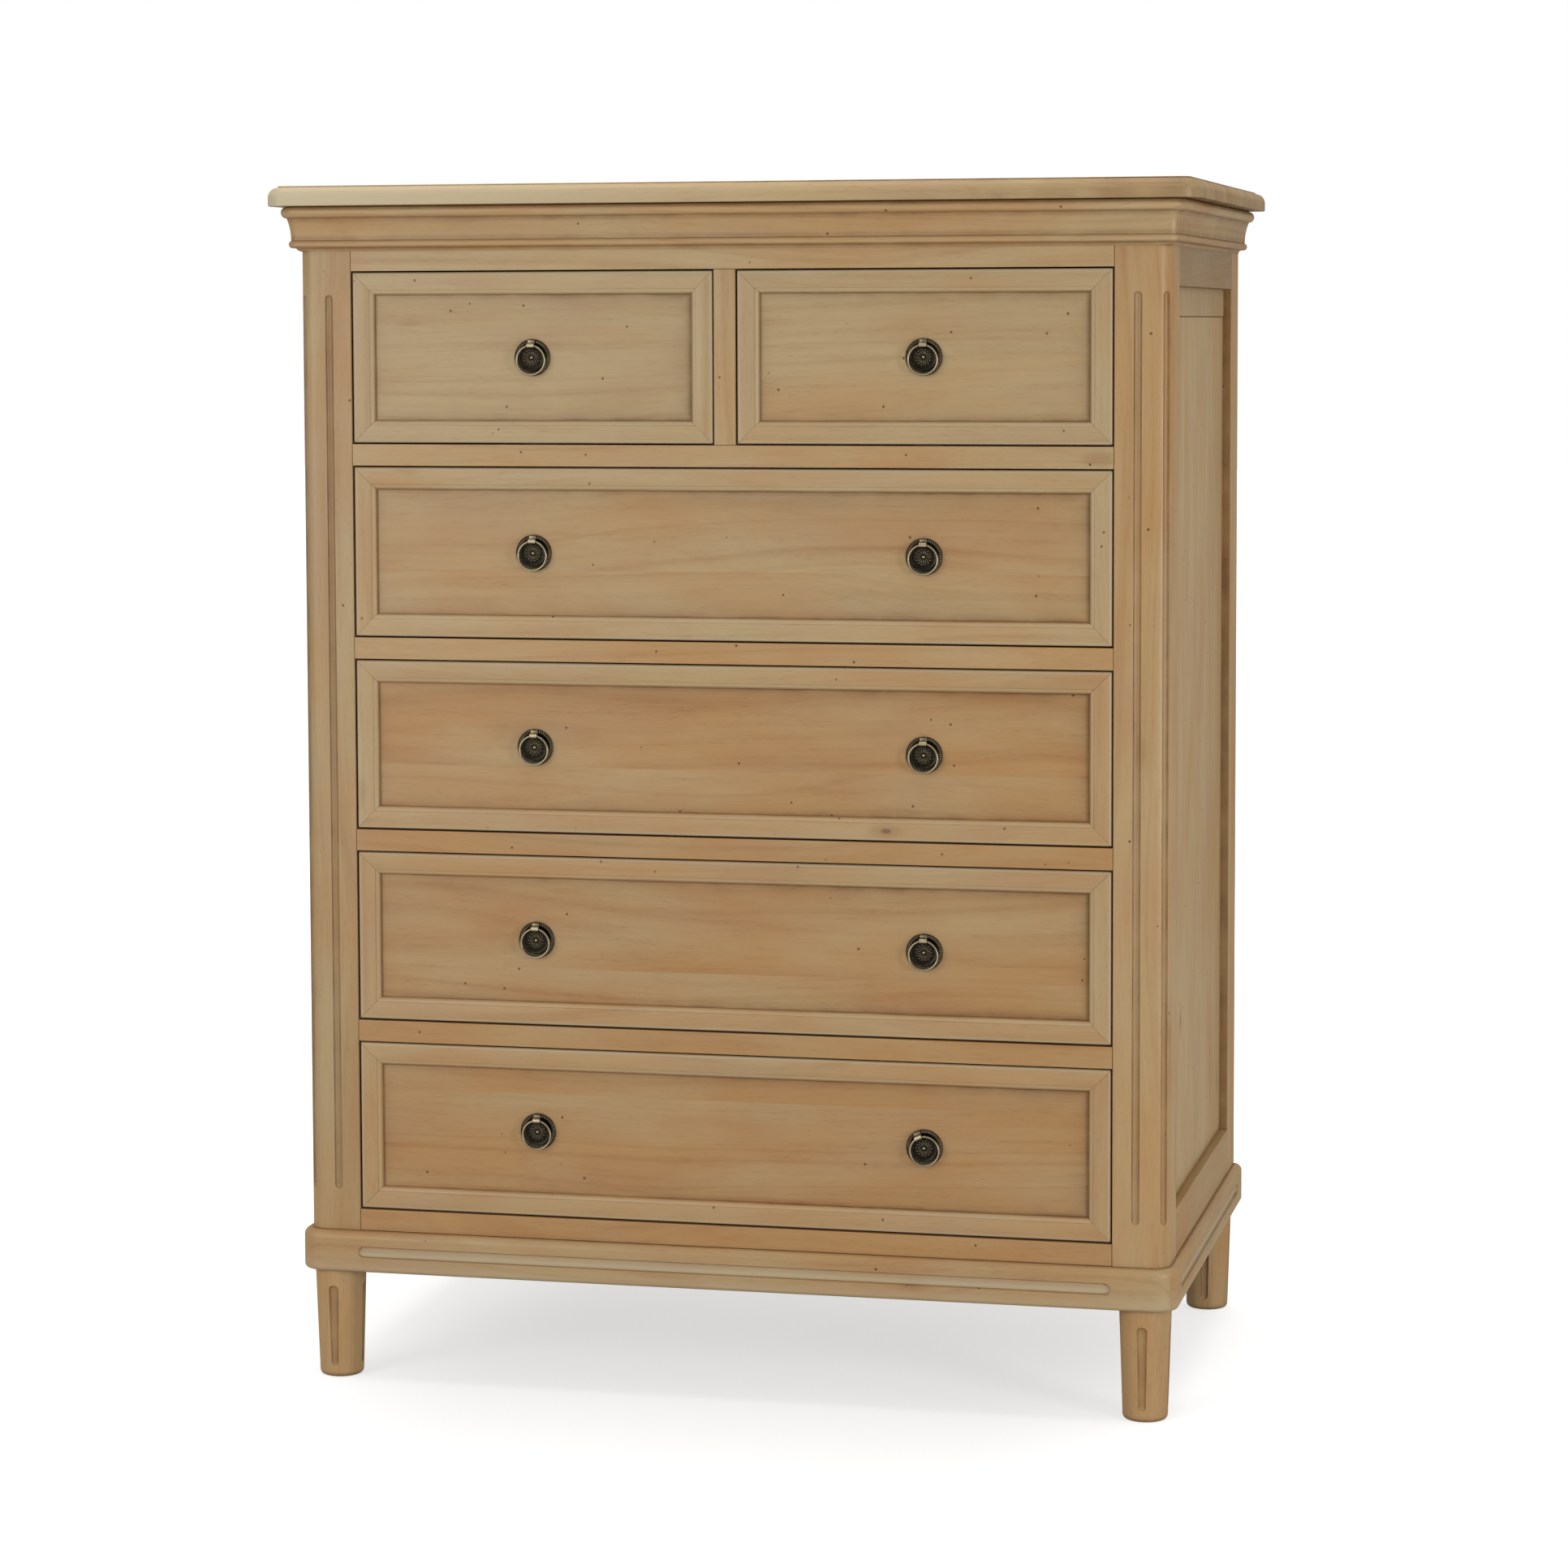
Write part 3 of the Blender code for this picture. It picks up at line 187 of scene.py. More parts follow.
# Rings, eyes, bolts and nuts
RING_RADIUS = 0.0167
WIRE_RADIUS = 0.0012
RING_STANDOFF = 0.0082
RING_DROP = 0.0030
RING_WEAR = (0.26, 0.36)
EYE_RADIUS = 0.00295
EYE_HOLE = 0.00196
EYE_HALF_WIDTH = 0.0045
EYE_INNER_ROUND = 0.0003
EYE_OUTER_ROUND = 0.0004
# The eye's painted highlight on its upper front and painted shade below, as (least, added at the lightest
# side), and that side's tilt
EYE_SHEEN = (0.3, 0.7)
EYE_SHEEN_TILT = -0.9
HINGE_HEIGHT = RING_RADIUS - RING_DROP
STRAP_BOX = ((-0.0042, 0.0042), (-0.0066, -0.0012), (0.0150, 0.0202))
STRAP_WEAR = 0.38
BOLT_RADIUS = 0.0020
BOLT_START = -0.0005
BOLT_LENGTH = 0.0055
NUT_RADIUS = 0.0045
NUT_LENGTH = 0.0035
SMALL_CHAMFER = 0.0005
TURNED_PULL = "5_right"
TURNED_PULL_ANGLE = radians(-25)

# How warm and how bright the wood of each piece is. The left front post is darker as painted shade against
# its nearer lamp, the side top rails are darker partly in their own colour and partly as painted shade
# under the cornice, and the top board is brighter as a painted reflection
TONES = {"top_board": (0.08, 1.06), "cornice_front": (0.42, 1.05), "cornice_side": (0.3, 1.0),
         "post_front_left": (0.38, 0.95), "post_front_right": (0.38, 1.02), "post_rear": (0.30, 1.0),
         "side_top_rail": (0.3, 0.73), "side_bottom_rail": (0.3, 0.94), "panel_field": (0.12, 1.03),
         "panel_strip": (0.06, 0.96), "top_rail": (0.10, 1.04), "centre_stile": (0.35, 1.0),
         "divider_1": (0.42, 1.02), "divider_2": (0.55, 1.02), "divider_3": (0.68, 0.97),
         "divider_4": (0.81, 0.97), "bottom_board": (0.94, 0.97), "inside": (0.3, 1.0),
         "plinth_front": (0.55, 0.96), "plinth_side": (0.45, 0.97), "leg": (0.45, 1.07)}
ROW_TONES = {"1": (0.10, 0.98), "2": (0.36, 0.99), "3": (0.68, 0.98), "4": (0.74, 0.97), "5": (0.90, 0.97)}
FRAME_WARMTH = 0.60
WARMTH_SPREAD = 0.06
SHADE_SPREAD = 0.015
PITH_ACROSS = 0.09
PITH_BELOW = (0.05, 0.13)
GRAIN_LENGTH = 60
BOARDS_PER_METRE = 9.0

rng = random.Random(11)


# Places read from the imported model
def low(node):
    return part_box(node)[0]


def high(node):
    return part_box(node)[1]


FRONT = low("post_front_left").y
BACK = high("post_rear_left").y
HALF_CASE = high("post_front_right").x
HALF_OPENING = low("post_front_right").x
POST_DEPTH = high("post_front_right").y - FRONT
POST_BACK = FRONT + POST_DEPTH
REAR_POST_FRONT = BACK - POST_DEPTH
BETWEEN_POSTS = (POST_BACK + GAP, REAR_POST_FRONT - GAP)
CASE_BOTTOM = low("post_front_left").z
CASE_TOP = high("post_front_left").z
PLINTH_TOP = high("plinth_front").z
LEG_TOP = low("plinth_front").z
BEHIND = low("back_panel").y - GAP
PANEL_FACE = HALF_CASE - PANEL_RECESS
PANEL_BACK = PANEL_FACE - PANEL_THICKNESS
SIDE_RAIL_BACK = low("side_top_rail_right").x
TOP_SIDE_OVERHANG = high("top_board").x - HALF_CASE
TOP_FRONT_OVERHANG = FRONT - low("top_board").y
BEAD_PROJECTION = FRONT - low("cornice").y
PLINTH_PROJECTION = FRONT - low("plinth_front").y
LOWEST_OPENING = low("drawer_front_5").z - FRONT_EDGE_GAP
RAIL_SPAN = (GAP - HALF_OPENING, HALF_OPENING - GAP)


def span(side, near, far):
    """The X range from near to far on one side of the middle."""
    return tuple(sorted((side * near, side * far)))


def polar(radius, angle, centre=(0.0, 0.0)):
    return centre[0] + radius * cos(angle), centre[1] + radius * sin(angle)


def arc(centre, radius, start, end, steps):
    """Points from one angle in degrees to another."""
    turns = [start + (end - start) * i / steps for i in range(steps + 1)]
    return [polar(radius, radians(turn), centre) for turn in turns]


# Materials
def add(tree, kind, inputs=None, **settings):
    """The outputs of a new shader node, whose sockets take a value or another node's output."""
    made = tree.nodes.new("ShaderNode" + kind)
    for name, value in settings.items():
        setattr(made, name, value)
    for key, value in (inputs or {}).items():
        if isinstance(value, bpy.types.NodeSocket):
            tree.links.new(value, made.inputs[key])
        else:
            made.inputs[key].default_value = value
    return made.outputs


def maths(tree, operation, a, b=0.0, clamp=False):
    return add(tree, "Math", {0: a, 1: b}, operation=operation, use_clamp=clamp)[0]


def vectors(tree, operation, a, b=(0.0, 0.0, 0.0)):
    result = "Value" if operation == "LENGTH" else "Vector"
    return add(tree, "VectorMath", {0: a, 1: b}, operation=operation)[result]


def remap(tree, value, low_in, high_in, low_out, high_out, smooth=False):
    kind = "SMOOTHSTEP" if smooth else "LINEAR"
    inputs = {0: value, 1: low_in, 2: high_in, 3: low_out, 4: high_out}
    return add(tree, "MapRange", inputs, interpolation_type=kind, clamp=True)[0]


def mix(tree, factor, a, b, blend="MIX"):
    inputs = {0: factor, 6: a, 7: b}
    return add(tree, "Mix", inputs, data_type="RGBA", blend_type=blend)[2]


def tint(tree, colour, factor, shade):
    """The colour multiplied by a shade, as far as the factor says."""
    return mix(tree, factor, colour, (*shade, 1.0), "MULTIPLY")


def noise(tree, vector, cells):
    """Noise of a kind given as (cells a metre along the grain, cells across it, detail, roughness)."""
    along, across, detail, roughness = cells
    vector = vectors(tree, "MULTIPLY", vector, (along, across, across))
    inputs = {"Vector": vector, "Scale": 1.0, "Detail": detail, "Roughness": roughness}
    return add(tree, "TexNoise", inputs)


def attribute(tree, name):
    return add(tree, "Attribute", attribute_name=name)


def object_place(tree):
    return add(tree, "TexCoord")["Object"]


def openness(tree, distance):
    """1 on open surfaces, and less in corners that are narrower than the distance."""
    return add(tree, "AmbientOcclusion", {"Distance": distance}, samples=8)["AO"]


def new_material(name):
    made = bpy.data.materials.new(name)
    made.use_nodes = True
    made.node_tree.nodes.clear()
    return made, made.node_tree


def finish_material(tree, colour, roughness, normal, metallic=0.0, coat=0.0, specular=0.5):
    inputs = {"Base Color": colour, "Roughness": roughness, "Metallic": metallic, "Normal": normal,
              "Coat Weight": coat, "Coat Roughness": COAT_ROUGHNESS, "Coat IOR": COAT_IOR,
              "Specular IOR Level": specular}
    add(tree, "OutputMaterial", {"Surface": add(tree, "BsdfPrincipled", inputs)[0]})


# Which coordinates run along the grain, across the board's face and into it
AXES = {"x": (0, 2, 1), "y": (1, 2, 0), "z": (2, 0, 1), "side": (2, 1, 0)}
KEPT_PITH = (3.1, 0.05, 0.4)

# Boards of a jointed panel: where the first one starts, how far its figure shifts, and its warmth
STRIP_START = 0.37
STRIP_SHIFT = (9.0, 0.0, 0.05)
STRIP_WARMTH = (-0.16, 0.20)

# Kinds of noise in wood and metal
BEND = (1.5, 4.0, 1.0, 0.5)
PATCHES = (4.5, 13.0, 2.0, 0.55)
CLOUDS = (5.0, 16.0, 1.0, 0.5)
STREAKS = (4.6, 105.0, 3.0, 0.6)
FINE_LINES = (38.0, 560.0, 2.0, 0.5)
PORES = (95.0, 1700.0, 1.0, 0.4)
PAINTED_SHADE_NOISE = (26.0, 26.0, 3.0, 0.5)
SPECKLE = (900.0, 900.0, 3.0, 0.6)
TARNISH = (220.0, 220.0, 2.0, 0.5)
BEND_REACH = 0.070
YEARS_PER_METRE = 70.0
HOLE_CELLS = 30.0
KNOT_CELLS = 8.5
KNOT_STRETCH = 0.45
COAT_ROUGHNESS = 0.36
COAT_IOR = 2.4

# Shades that the marks in wood multiply its colour by, the last one for painted shade in corners and
# creases, and the colour of painted highlights and paler tone
CLOUD_SHADE = (0.92, 0.85, 0.89)
VEIN_SHADE = (0.74, 0.60, 0.50)
STREAK_SHADE = (0.82, 0.73, 0.64)
PALE_STREAK_SHADE = (1.10, 1.12, 1.12)
FINE_SHADE = (0.78, 0.70, 0.62)
PORE_SHADE = (0.52, 0.42, 0.32)
HOLE_SHADE = (0.20, 0.13, 0.08)
KNOT_HALO_SHADE = (0.66, 0.50, 0.38)
KNOT_SHADE = (0.34, 0.24, 0.17)
PAINTED_SHADE_TINT = (0.40, 0.32, 0.25)
PALE_AND_HIGHLIGHT = (0.51, 0.44, 0.30, 1.0)


def grain_source(tree, axis):
    """Coordinates with X along the grain: a piece's own attribute, or a CAD node's place."""
    if axis is None:
        return attribute(tree, "grain")["Vector"]
    parts = add(tree, "SeparateXYZ", {0: object_place(tree)})
    i, j, k = AXES[axis]
    joined = add(tree, "CombineXYZ", {0: parts[i], 1: parts[j], 2: parts[k]})[0]
    return vectors(tree, "ADD", joined, KEPT_PITH)


def wood(name, cool, warm, axis=None, warmth=0.5, figure=1.0):
    """Satin waxed wood: jointed boards, soft figure, pores, small knots, worm holes, painted shade in
    corners and creases, and painted highlights on edges.
    """
    made, tree = new_material(name)
    grain = grain_source(tree, axis)
    shade, painted_light_and_wear = 1.0, 0.0

    if axis is None:
        warmth, shade, jointed = add(tree, "SeparateXYZ", {0: attribute(tree, "tone")["Vector"]})
        painted_light_and_wear = attribute(tree, "painted_light_and_wear")["Fac"]
        across = maths(tree, "MULTIPLY", add(tree, "SeparateXYZ", {0: grain})[1], jointed)
        strip = maths(tree, "FLOOR", maths(tree, "ADD", across, STRIP_START))
        strip = add(tree, "TexWhiteNoise", {"W": strip}, noise_dimensions="1D")
        grain = vectors(tree, "ADD", grain, vectors(tree, "MULTIPLY", strip["Color"], STRIP_SHIFT))
        warmth = maths(tree, "ADD", warmth, remap(tree, strip["Value"], 0.0, 1.0, *STRIP_WARMTH))

    bend = vectors(tree, "SUBTRACT", noise(tree, grain, BEND)["Color"], (0.5, 0.5, 0.5))
    bend = vectors(tree, "MULTIPLY", bend, (0.0, BEND_REACH, BEND_REACH))
    bent = vectors(tree, "ADD", grain, bend)
    reach = vectors(tree, "LENGTH", vectors(tree, "MULTIPLY", bent, (0.0, 1.0, 1.0)))
    years = maths(tree, "MULTIPLY", reach, YEARS_PER_METRE)
    rings = add(tree, "TexNoise", {"W": years, "Scale": 1.0, "Detail": 4.0, "Roughness": 0.6},
                noise_dimensions="1D")[0]
    streaks = noise(tree, bent, STREAKS)[0]
    fine = noise(tree, bent, FINE_LINES)[0]
    pores = noise(tree, grain, PORES)[0]
    patches = noise(tree, bent, PATCHES)[0]
    clouds = noise(tree, grain, CLOUDS)[0]

    drift = maths(tree, "ADD", remap(tree, patches, 0.28, 0.72, -0.48, 0.48), warmth, True)
    colour = mix(tree, drift, cool, warm)
    colour = tint(tree, colour, remap(tree, clouds, 0.50, 0.70, 0.0, 0.50), CLOUD_SHADE)
    colour = tint(tree, colour, remap(tree, rings, 0.50, 0.70, 0.0, 0.30 * figure, True), VEIN_SHADE)
    colour = tint(tree, colour, remap(tree, streaks, 0.52, 0.74, 0.0, 0.40 * figure), STREAK_SHADE)
    colour = tint(tree, colour, remap(tree, streaks, 0.46, 0.28, 0.0, 0.30), PALE_STREAK_SHADE)
    colour = tint(tree, colour, remap(tree, fine, 0.52, 0.74, 0.0, 0.34), FINE_SHADE)
    dashes = remap(tree, pores, 0.64, 0.72, 0.0, 0.50)
    dashes = maths(tree, "MULTIPLY", dashes, remap(tree, streaks, 0.44, 0.66, 0.15, 1.0))
    colour = tint(tree, colour, dashes, PORE_SHADE)

    hole = add(tree, "TexVoronoi", {"Vector": grain, "Scale": HOLE_CELLS})["Distance"]
    holes = remap(tree, hole, 0.032, 0.060, 0.88, 0.0, True)
    colour = tint(tree, colour, holes, HOLE_SHADE)
    place = vectors(tree, "MULTIPLY", grain, (KNOT_STRETCH, 1.0, 1.0))
    knot = add(tree, "TexVoronoi", {"Vector": place, "Scale": KNOT_CELLS})["Distance"]
    colour = tint(tree, colour, remap(tree, knot, 0.025, 0.11, 0.50, 0.0, True), KNOT_HALO_SHADE)
    colour = tint(tree, colour, remap(tree, knot, 0.014, 0.032, 0.75, 0.0, True), KNOT_SHADE)

    # Painted shade: darker in corners and recesses by ambient occlusion, and where the per-point values are
    # positive, made uneven by noise
    corners = remap(tree, openness(tree, 0.012), 0.88, 0.42, 0.0, 0.55, True)
    painted_shade = maths(tree, "MAXIMUM", corners, maths(tree, "MULTIPLY", painted_light_and_wear, 0.85))
    uneven = remap(tree, noise(tree, grain, PAINTED_SHADE_NOISE)[0], 0.3, 0.7, 0.55, 1.15)
    colour = tint(tree, colour, maths(tree, "MULTIPLY", painted_shade, uneven, True), PAINTED_SHADE_TINT)
    # Painted highlights, with a little paler tone on frame faces, where the per-point values are negative
    colour = mix(tree, maths(tree, "MULTIPLY", painted_light_and_wear, -0.9, True), colour, PALE_AND_HIGHLIGHT)
    shade_colour = add(tree, "CombineXYZ", {0: shade, 1: shade, 2: shade})[0]
    colour = mix(tree, 1.0, colour, shade_colour, "MULTIPLY")

    ripple = maths(tree, "SUBTRACT", maths(tree, "MULTIPLY", fine, 0.5), dashes)
    ripple = maths(tree, "SUBTRACT", ripple, maths(tree, "MULTIPLY", holes, 2.0))
    bump = add(tree, "Bump", {"Strength": 0.20, "Distance": 0.0004, "Height": ripple})[0]
    finish_material(tree, colour, remap(tree, streaks, 0.3, 0.7, 0.34, 0.46), bump, coat=0.12, specular=0.0)
    return made


def metal(name, dark, bright, rub_and_sheen, roughness):
    """Antique brass: a dark patina that is rubbed bright on the high spots, and paler where a part's values
    paint a highlight.
    """
    made, tree = new_material(name)
    place = object_place(tree)
    wear_and_sheen = attribute(tree, "wear_and_sheen")["Fac"]
    speckle = noise(tree, place, SPECKLE)[0]
    tarnish = noise(tree, place, TARNISH)[0]
    factor = maths(tree, "MULTIPLY", wear_and_sheen, rub_and_sheen)
    factor = maths(tree, "ADD", factor, remap(tree, tarnish, 0.3, 0.7, -0.03, 0.03))
    factor = maths(tree, "MULTIPLY", factor, remap(tree, openness(tree, 0.004), 0.35, 0.95, 0.35, 1.0))
    factor = maths(tree, "ADD", factor, remap(tree, speckle, 0.55, 0.75, 0.0, 0.03), True)
    bump = add(tree, "Bump", {"Strength": 0.25, "Distance": 0.0002, "Height": speckle})[0]
    gloss = remap(tree, speckle, 0.3, 0.7, roughness - 0.07, roughness + 0.10)
    finish_material(tree, mix(tree, factor, dark, bright), gloss, bump, metallic=1.0)
    return made


COOL = (0.424, 0.304, 0.156, 1.0)
WARM = (0.408, 0.229, 0.090, 1.0)
case_wood = wood("honey_wood", COOL, WARM)
kept_wood = wood("honey_wood_kept", COOL, WARM, axis="x", warmth=0.45)
box_wood = wood("drawer_box_wood", (0.60, 0.48, 0.32, 1.0), (0.55, 0.41, 0.25, 1.0), axis="y", figure=0.7)
back_wood = wood("back_board_wood", (0.46, 0.36, 0.24, 1.0), (0.42, 0.30, 0.18, 1.0), axis="z", figure=0.8)
bronze = metal("dark_bronze", (0.009, 0.0075, 0.0055, 1.0), (0.36, 0.285, 0.17, 1.0), 0.80, 0.34)
brass = metal("antique_brass", (0.036, 0.027, 0.015, 1.0), (0.37, 0.305, 0.195, 1.0), 0.85, 0.28)


# Pieces
def new_object(name, data):
    made = bpy.data.objects.new(name, data)
    bpy.context.scene.collection.objects.link(made)
    return made


def to_object(name, bm):
    mesh = bpy.data.meshes.new(name)
    bmesh.ops.recalc_face_normals(bm, faces=bm.faces)
    bm.to_mesh(mesh)
    bm.free()
    return new_object(name, mesh)


def smooth(mesh, angle=SHARP_ANGLE):
    """Smooth shading with edges over this angle kept sharp."""
    mesh.shade_smooth()
    mesh.set_sharp_from_angle(angle=radians(angle))


def add_rings(bm, rings, painted_light_and_wear=None, closed=False):
    """Quads between rings of points, with their ends capped or, where closed, joined.

    The points' values paint shade where positive and highlight where negative on wood, and on metal they
    are wear and painted sheen, in one list for all rings or one for each."""
    layer = bm.verts.layers.float.new("painted_light_and_wear")
    rows = [[bm.verts.new(point) for point in ring] for ring in rings]
    if painted_light_and_wear:
        by_ring = painted_light_and_wear if isinstance(painted_light_and_wear[0], list) else [painted_light_and_wear] * len(rows)
        for row, shares in zip(rows, by_ring):
            for vertex, share in zip(row, shares):
                vertex[layer] = share
    for here, ahead in zip(rows, rows[1:] + rows[:1] * closed):
        for i in range(len(here)):
            j = (i + 1) % len(here)
            bm.faces.new((here[i], here[j], ahead[j], ahead[i]))
    if not closed:
        bm.faces.new(rows[0])
        bm.faces.new(rows[-1])


def add_box(bm, spans, arris, segments=2, painted_light_and_wear=0.0):
    """A box over its X, Y and Z spans with its edges eased."""
    layer = bm.verts.layers.float.get("painted_light_and_wear") or bm.verts.layers.float.new("painted_light_and_wear")
    corners = bmesh.ops.create_cube(bm, size=1.0)["verts"]
    for vertex in corners:
        vertex[layer] = painted_light_and_wear
        for axis, (a, b) in enumerate(spans):
            vertex.co[axis] = (a + b) / 2 + vertex.co[axis] * (b - a)
    edges = [e for e in bm.edges if e.verts[0] in corners and e.verts[1] in corners]
    bmesh.ops.bevel(bm, geom=edges, offset=arris, segments=segments, profile=0.5, affect="EDGES")


def loft(name, rings, painted_light_and_wear=None, closed=False):
    bm = bmesh.new()
    add_rings(bm, rings, painted_light_and_wear, closed)
    return to_object(name, bm)


def board(name, x, y, z, arris=ARRIS):
    bm = bmesh.new()
    add_box(bm, (x, y, z), arris)
    return to_object(name, bm)


def tie(piece, node, body):
    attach(piece, body)
    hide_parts(node)


def dress_wood(piece, node, axis, tone, body="case", jointed=0.0):
    """Give a wood piece its grain and tone, and tie it to what it stands for.

    jointed is how many boards a metre it is glued up from, and 0 is one board."""
    mesh = piece.data
    warmth, shade = tone
    i, j, k = AXES[axis]
    middle = sum((v.co for v in mesh.vertices), Vector()) / len(mesh.vertices)
    start = rng.uniform(0, GRAIN_LENGTH)
    pith = (rng.uniform(-PITH_ACROSS, PITH_ACROSS), rng.choice((-1, 1)) * rng.uniform(*PITH_BELOW))
    turn = rng.choice((-1, 1))
    grain = []
    for v in mesh.vertices:
        near = v.co - middle
        grain += [turn * near[i] + start, near[j] + pith[0], near[k] + pith[1]]
    mesh.attributes.new("grain", "FLOAT_VECTOR", "POINT").data.foreach_set("vector", grain)
    warmth += rng.uniform(-WARMTH_SPREAD, WARMTH_SPREAD)
    shade *= rng.uniform(1 - SHADE_SPREAD, 1 + SHADE_SPREAD)
    tones = [warmth, shade, jointed] * len(mesh.vertices)
    mesh.attributes.new("tone", "FLOAT_VECTOR", "POINT").data.foreach_set("vector", tones)
    mesh.materials.append(case_wood)
    smooth(mesh)
    piece.modifiers.new("weighted_normals", "WEIGHTED_NORMAL").keep_sharp = True
    tie(piece, node, body)


# Section of a flute or groove from lip to lip, as (place across, share of the depth, painted shade at its
# lips and bottom)
HALF_GROOVE = [(1.14, 0.0, 0.0), (1.03, 0.015, 0.25), (0.98, 0.12, 0.85), (0.87, 0.42, 0.8),
               (0.64, 0.75, 0.4), (0.32, 0.95, 0.25)]
GROOVE = [(-p, d, g) for p, d, g in HALF_GROOVE] + [(0.0, 1.0, 0.25)] + HALF_GROOVE[::-1]

# Section of the plinth's groove, with painted shade at its lips and a pale painted reflection inside, which
# is weaker by these shares above and below its middle
PALE_HALF = [(1.10, 0.0, 0.0), (1.01, 0.02, 0.15), (0.96, 0.30, 0.45), (0.90, 0.75, 0.1),
             (0.80, 0.95, -0.8), (0.40, 1.0, -1.0)]
PALE_ABOVE, PALE_BELOW = 0.35, 0.75
PALE_GROOVE = [(-p, d, max(g, PALE_ABOVE * g)) for p, d, g in PALE_HALF] + [(0.0, 1.0, -0.5)]
PALE_GROOVE += [(p, d, max(g, PALE_BELOW * g)) for p, d, g in reversed(PALE_HALF)]

# Rounded end of a groove as (share of its length, how far open), and how far open a shut one stays
NOSE = [(0.0, 0.0), (0.03, 0.243), (0.12, 0.475), (0.28, 0.694), (0.5, 0.866), (0.75, 0.968), (1.0, 1.0)]
SHUT = 0.05


def groove_stations(start, end, nose):
    """Places from one end of a groove to the other with how open it is there."""
    stations = [(start + q * nose, open_) for q, open_ in NOSE]
    return stations + [(end - q * nose, open_) for q, open_ in reversed(NOSE)]


def post_section(side, open_):
    """The plan of a front post with its front flute and its corner flute this far open."""
    wide = FLUTE_HALF_WIDTH * max(open_, SHUT)
    deep = FLUTE_DEPTH * open_
    inner = HALF_OPENING + TINY
    points = [(inner, POST_BACK, 0.0), (inner, FRONT + ARRIS, 0.0), (inner + ARRIS, FRONT, 0.0)]
    face_x = HALF_OPENING + FLUTE_FROM_OPENING
    # The flutes carry the groove's painted shade, fading as they close
    points += [(face_x + p * wide, FRONT + d * deep, g * open_) for p, d, g in GROOVE]
    centre = (HALF_CASE - CORNER_RADIUS, FRONT + CORNER_RADIUS)
    half = degrees(GROOVE[-1][0] * wide / CORNER_RADIUS)
    points += [(x, y, 0.0) for x, y in arc(centre, CORNER_RADIUS, -90, -45 - half, 6)[:-1]]
    for p, d, g in GROOVE:
        angle = radians(-45) + p * wide / CORNER_RADIUS
        points.append((*polar(CORNER_RADIUS - d * deep, angle, centre), g * open_))
    points += [(x, y, 0.0) for x, y in arc(centre, CORNER_RADIUS, -45 + half, 0, 6)[1:]]
    points += [(HALF_CASE, POST_BACK - ARRIS, 0.0), (HALF_CASE - ARRIS, POST_BACK, 0.0)]
    return [(side * x, y, g) for x, y, g in points]


def make_front_post(side_name, side):
    bottom = LOWEST_OPENING + FLUTE_ABOVE_OPENING
    top = high("drawer_front_1_left").z - FLUTE_BELOW_OPENING
    flute = groove_stations(bottom, top, FLUTE_HALF_WIDTH)
    rings, painted_light_and_wear = [], []
    for z, open_ in [(CASE_BOTTOM, 0.0), *flute, (CASE_TOP, 0.0)]:
        section = post_section(side, open_)
        rings.append([(x, y, z) for x, y, g in section])
        painted_light_and_wear.append([g for x, y, g in section])
    node = f"post_front_{side_name}"
    dress_wood(loft(f"{node}_fluted", rings, painted_light_and_wear), node, "z", TONES[node])


def path_point(half, front, radius, side, turn, offset):
    """A point round a front corner, from 0 degrees at the front to 90 at the side."""
    angle = radians(turn)
    reach = radius + offset
    x = half - radius + reach * sin(angle)
    return side * x, front + radius - reach * cos(angle)


def top_profile(bottom, top):
    """Section of the top board's edge as (inset, height, painted shade where positive and painted highlight
    where negative).
    """
    crown = top - TOP_FILLET
    points = [(TOP_FOOT_EASE, bottom, 0.3), (TOP_FOOT_EASE / 4, bottom + 0.0005, 0.0),
              (0.0, bottom + TOP_FOOT_EASE, 0.0)]
    ovolo = arc((OVOLO_RADIUS, crown - OVOLO_RADIUS), OVOLO_RADIUS, 180, 90, 10)
    points += [(x, z, g) for (x, z), g in zip(ovolo, TOP_EDGE_LIGHT_AND_SHADE)]
    return points + [(OVOLO_RADIUS + inset, top - drop, g) for inset, drop, g in TOP_QUIRK]


def make_top_board():
    """The top board, whose edge fades from a pale painted reflection at the left to dark at the right."""
    half = HALF_CASE + TOP_SIDE_OVERHANG
    front = FRONT - TOP_FRONT_OVERHANG
    top = high("top_board").z
    least, most = TOP_FADE_RANGE
    rings, painted_light_and_wear = [], []
    for inset, z, dark in top_profile(low("top_board").z, top):
        ring = [(-half + inset, BACK, z)]
        for side, turns in ((-1, range(90, -1, -9)), (1, range(0, 91, 9))):
            for turn in turns:
                ring.append((*path_point(half, front, TOP_RADIUS, side, turn, -inset), z))
        ring.append((half - inset, BACK, z))
        rings.append(ring)
        painted_light_and_wear.append([dark] * len(ring))
        # Below the fillet the edge gets the painted reflection, paler at the left and darker towards the
        # right
        if z < top - 2 * TINY:
            fades = [TOP_REFLECTION_OFFSET + TOP_FADE * x / half for x, y, z in ring]
            painted_light_and_wear[-1] = [dark + min(most, max(least, fade)) for fade in fades]
    dress_wood(loft("top_board_moulded", rings, painted_light_and_wear), "top_board", "x", TONES["top_board"])


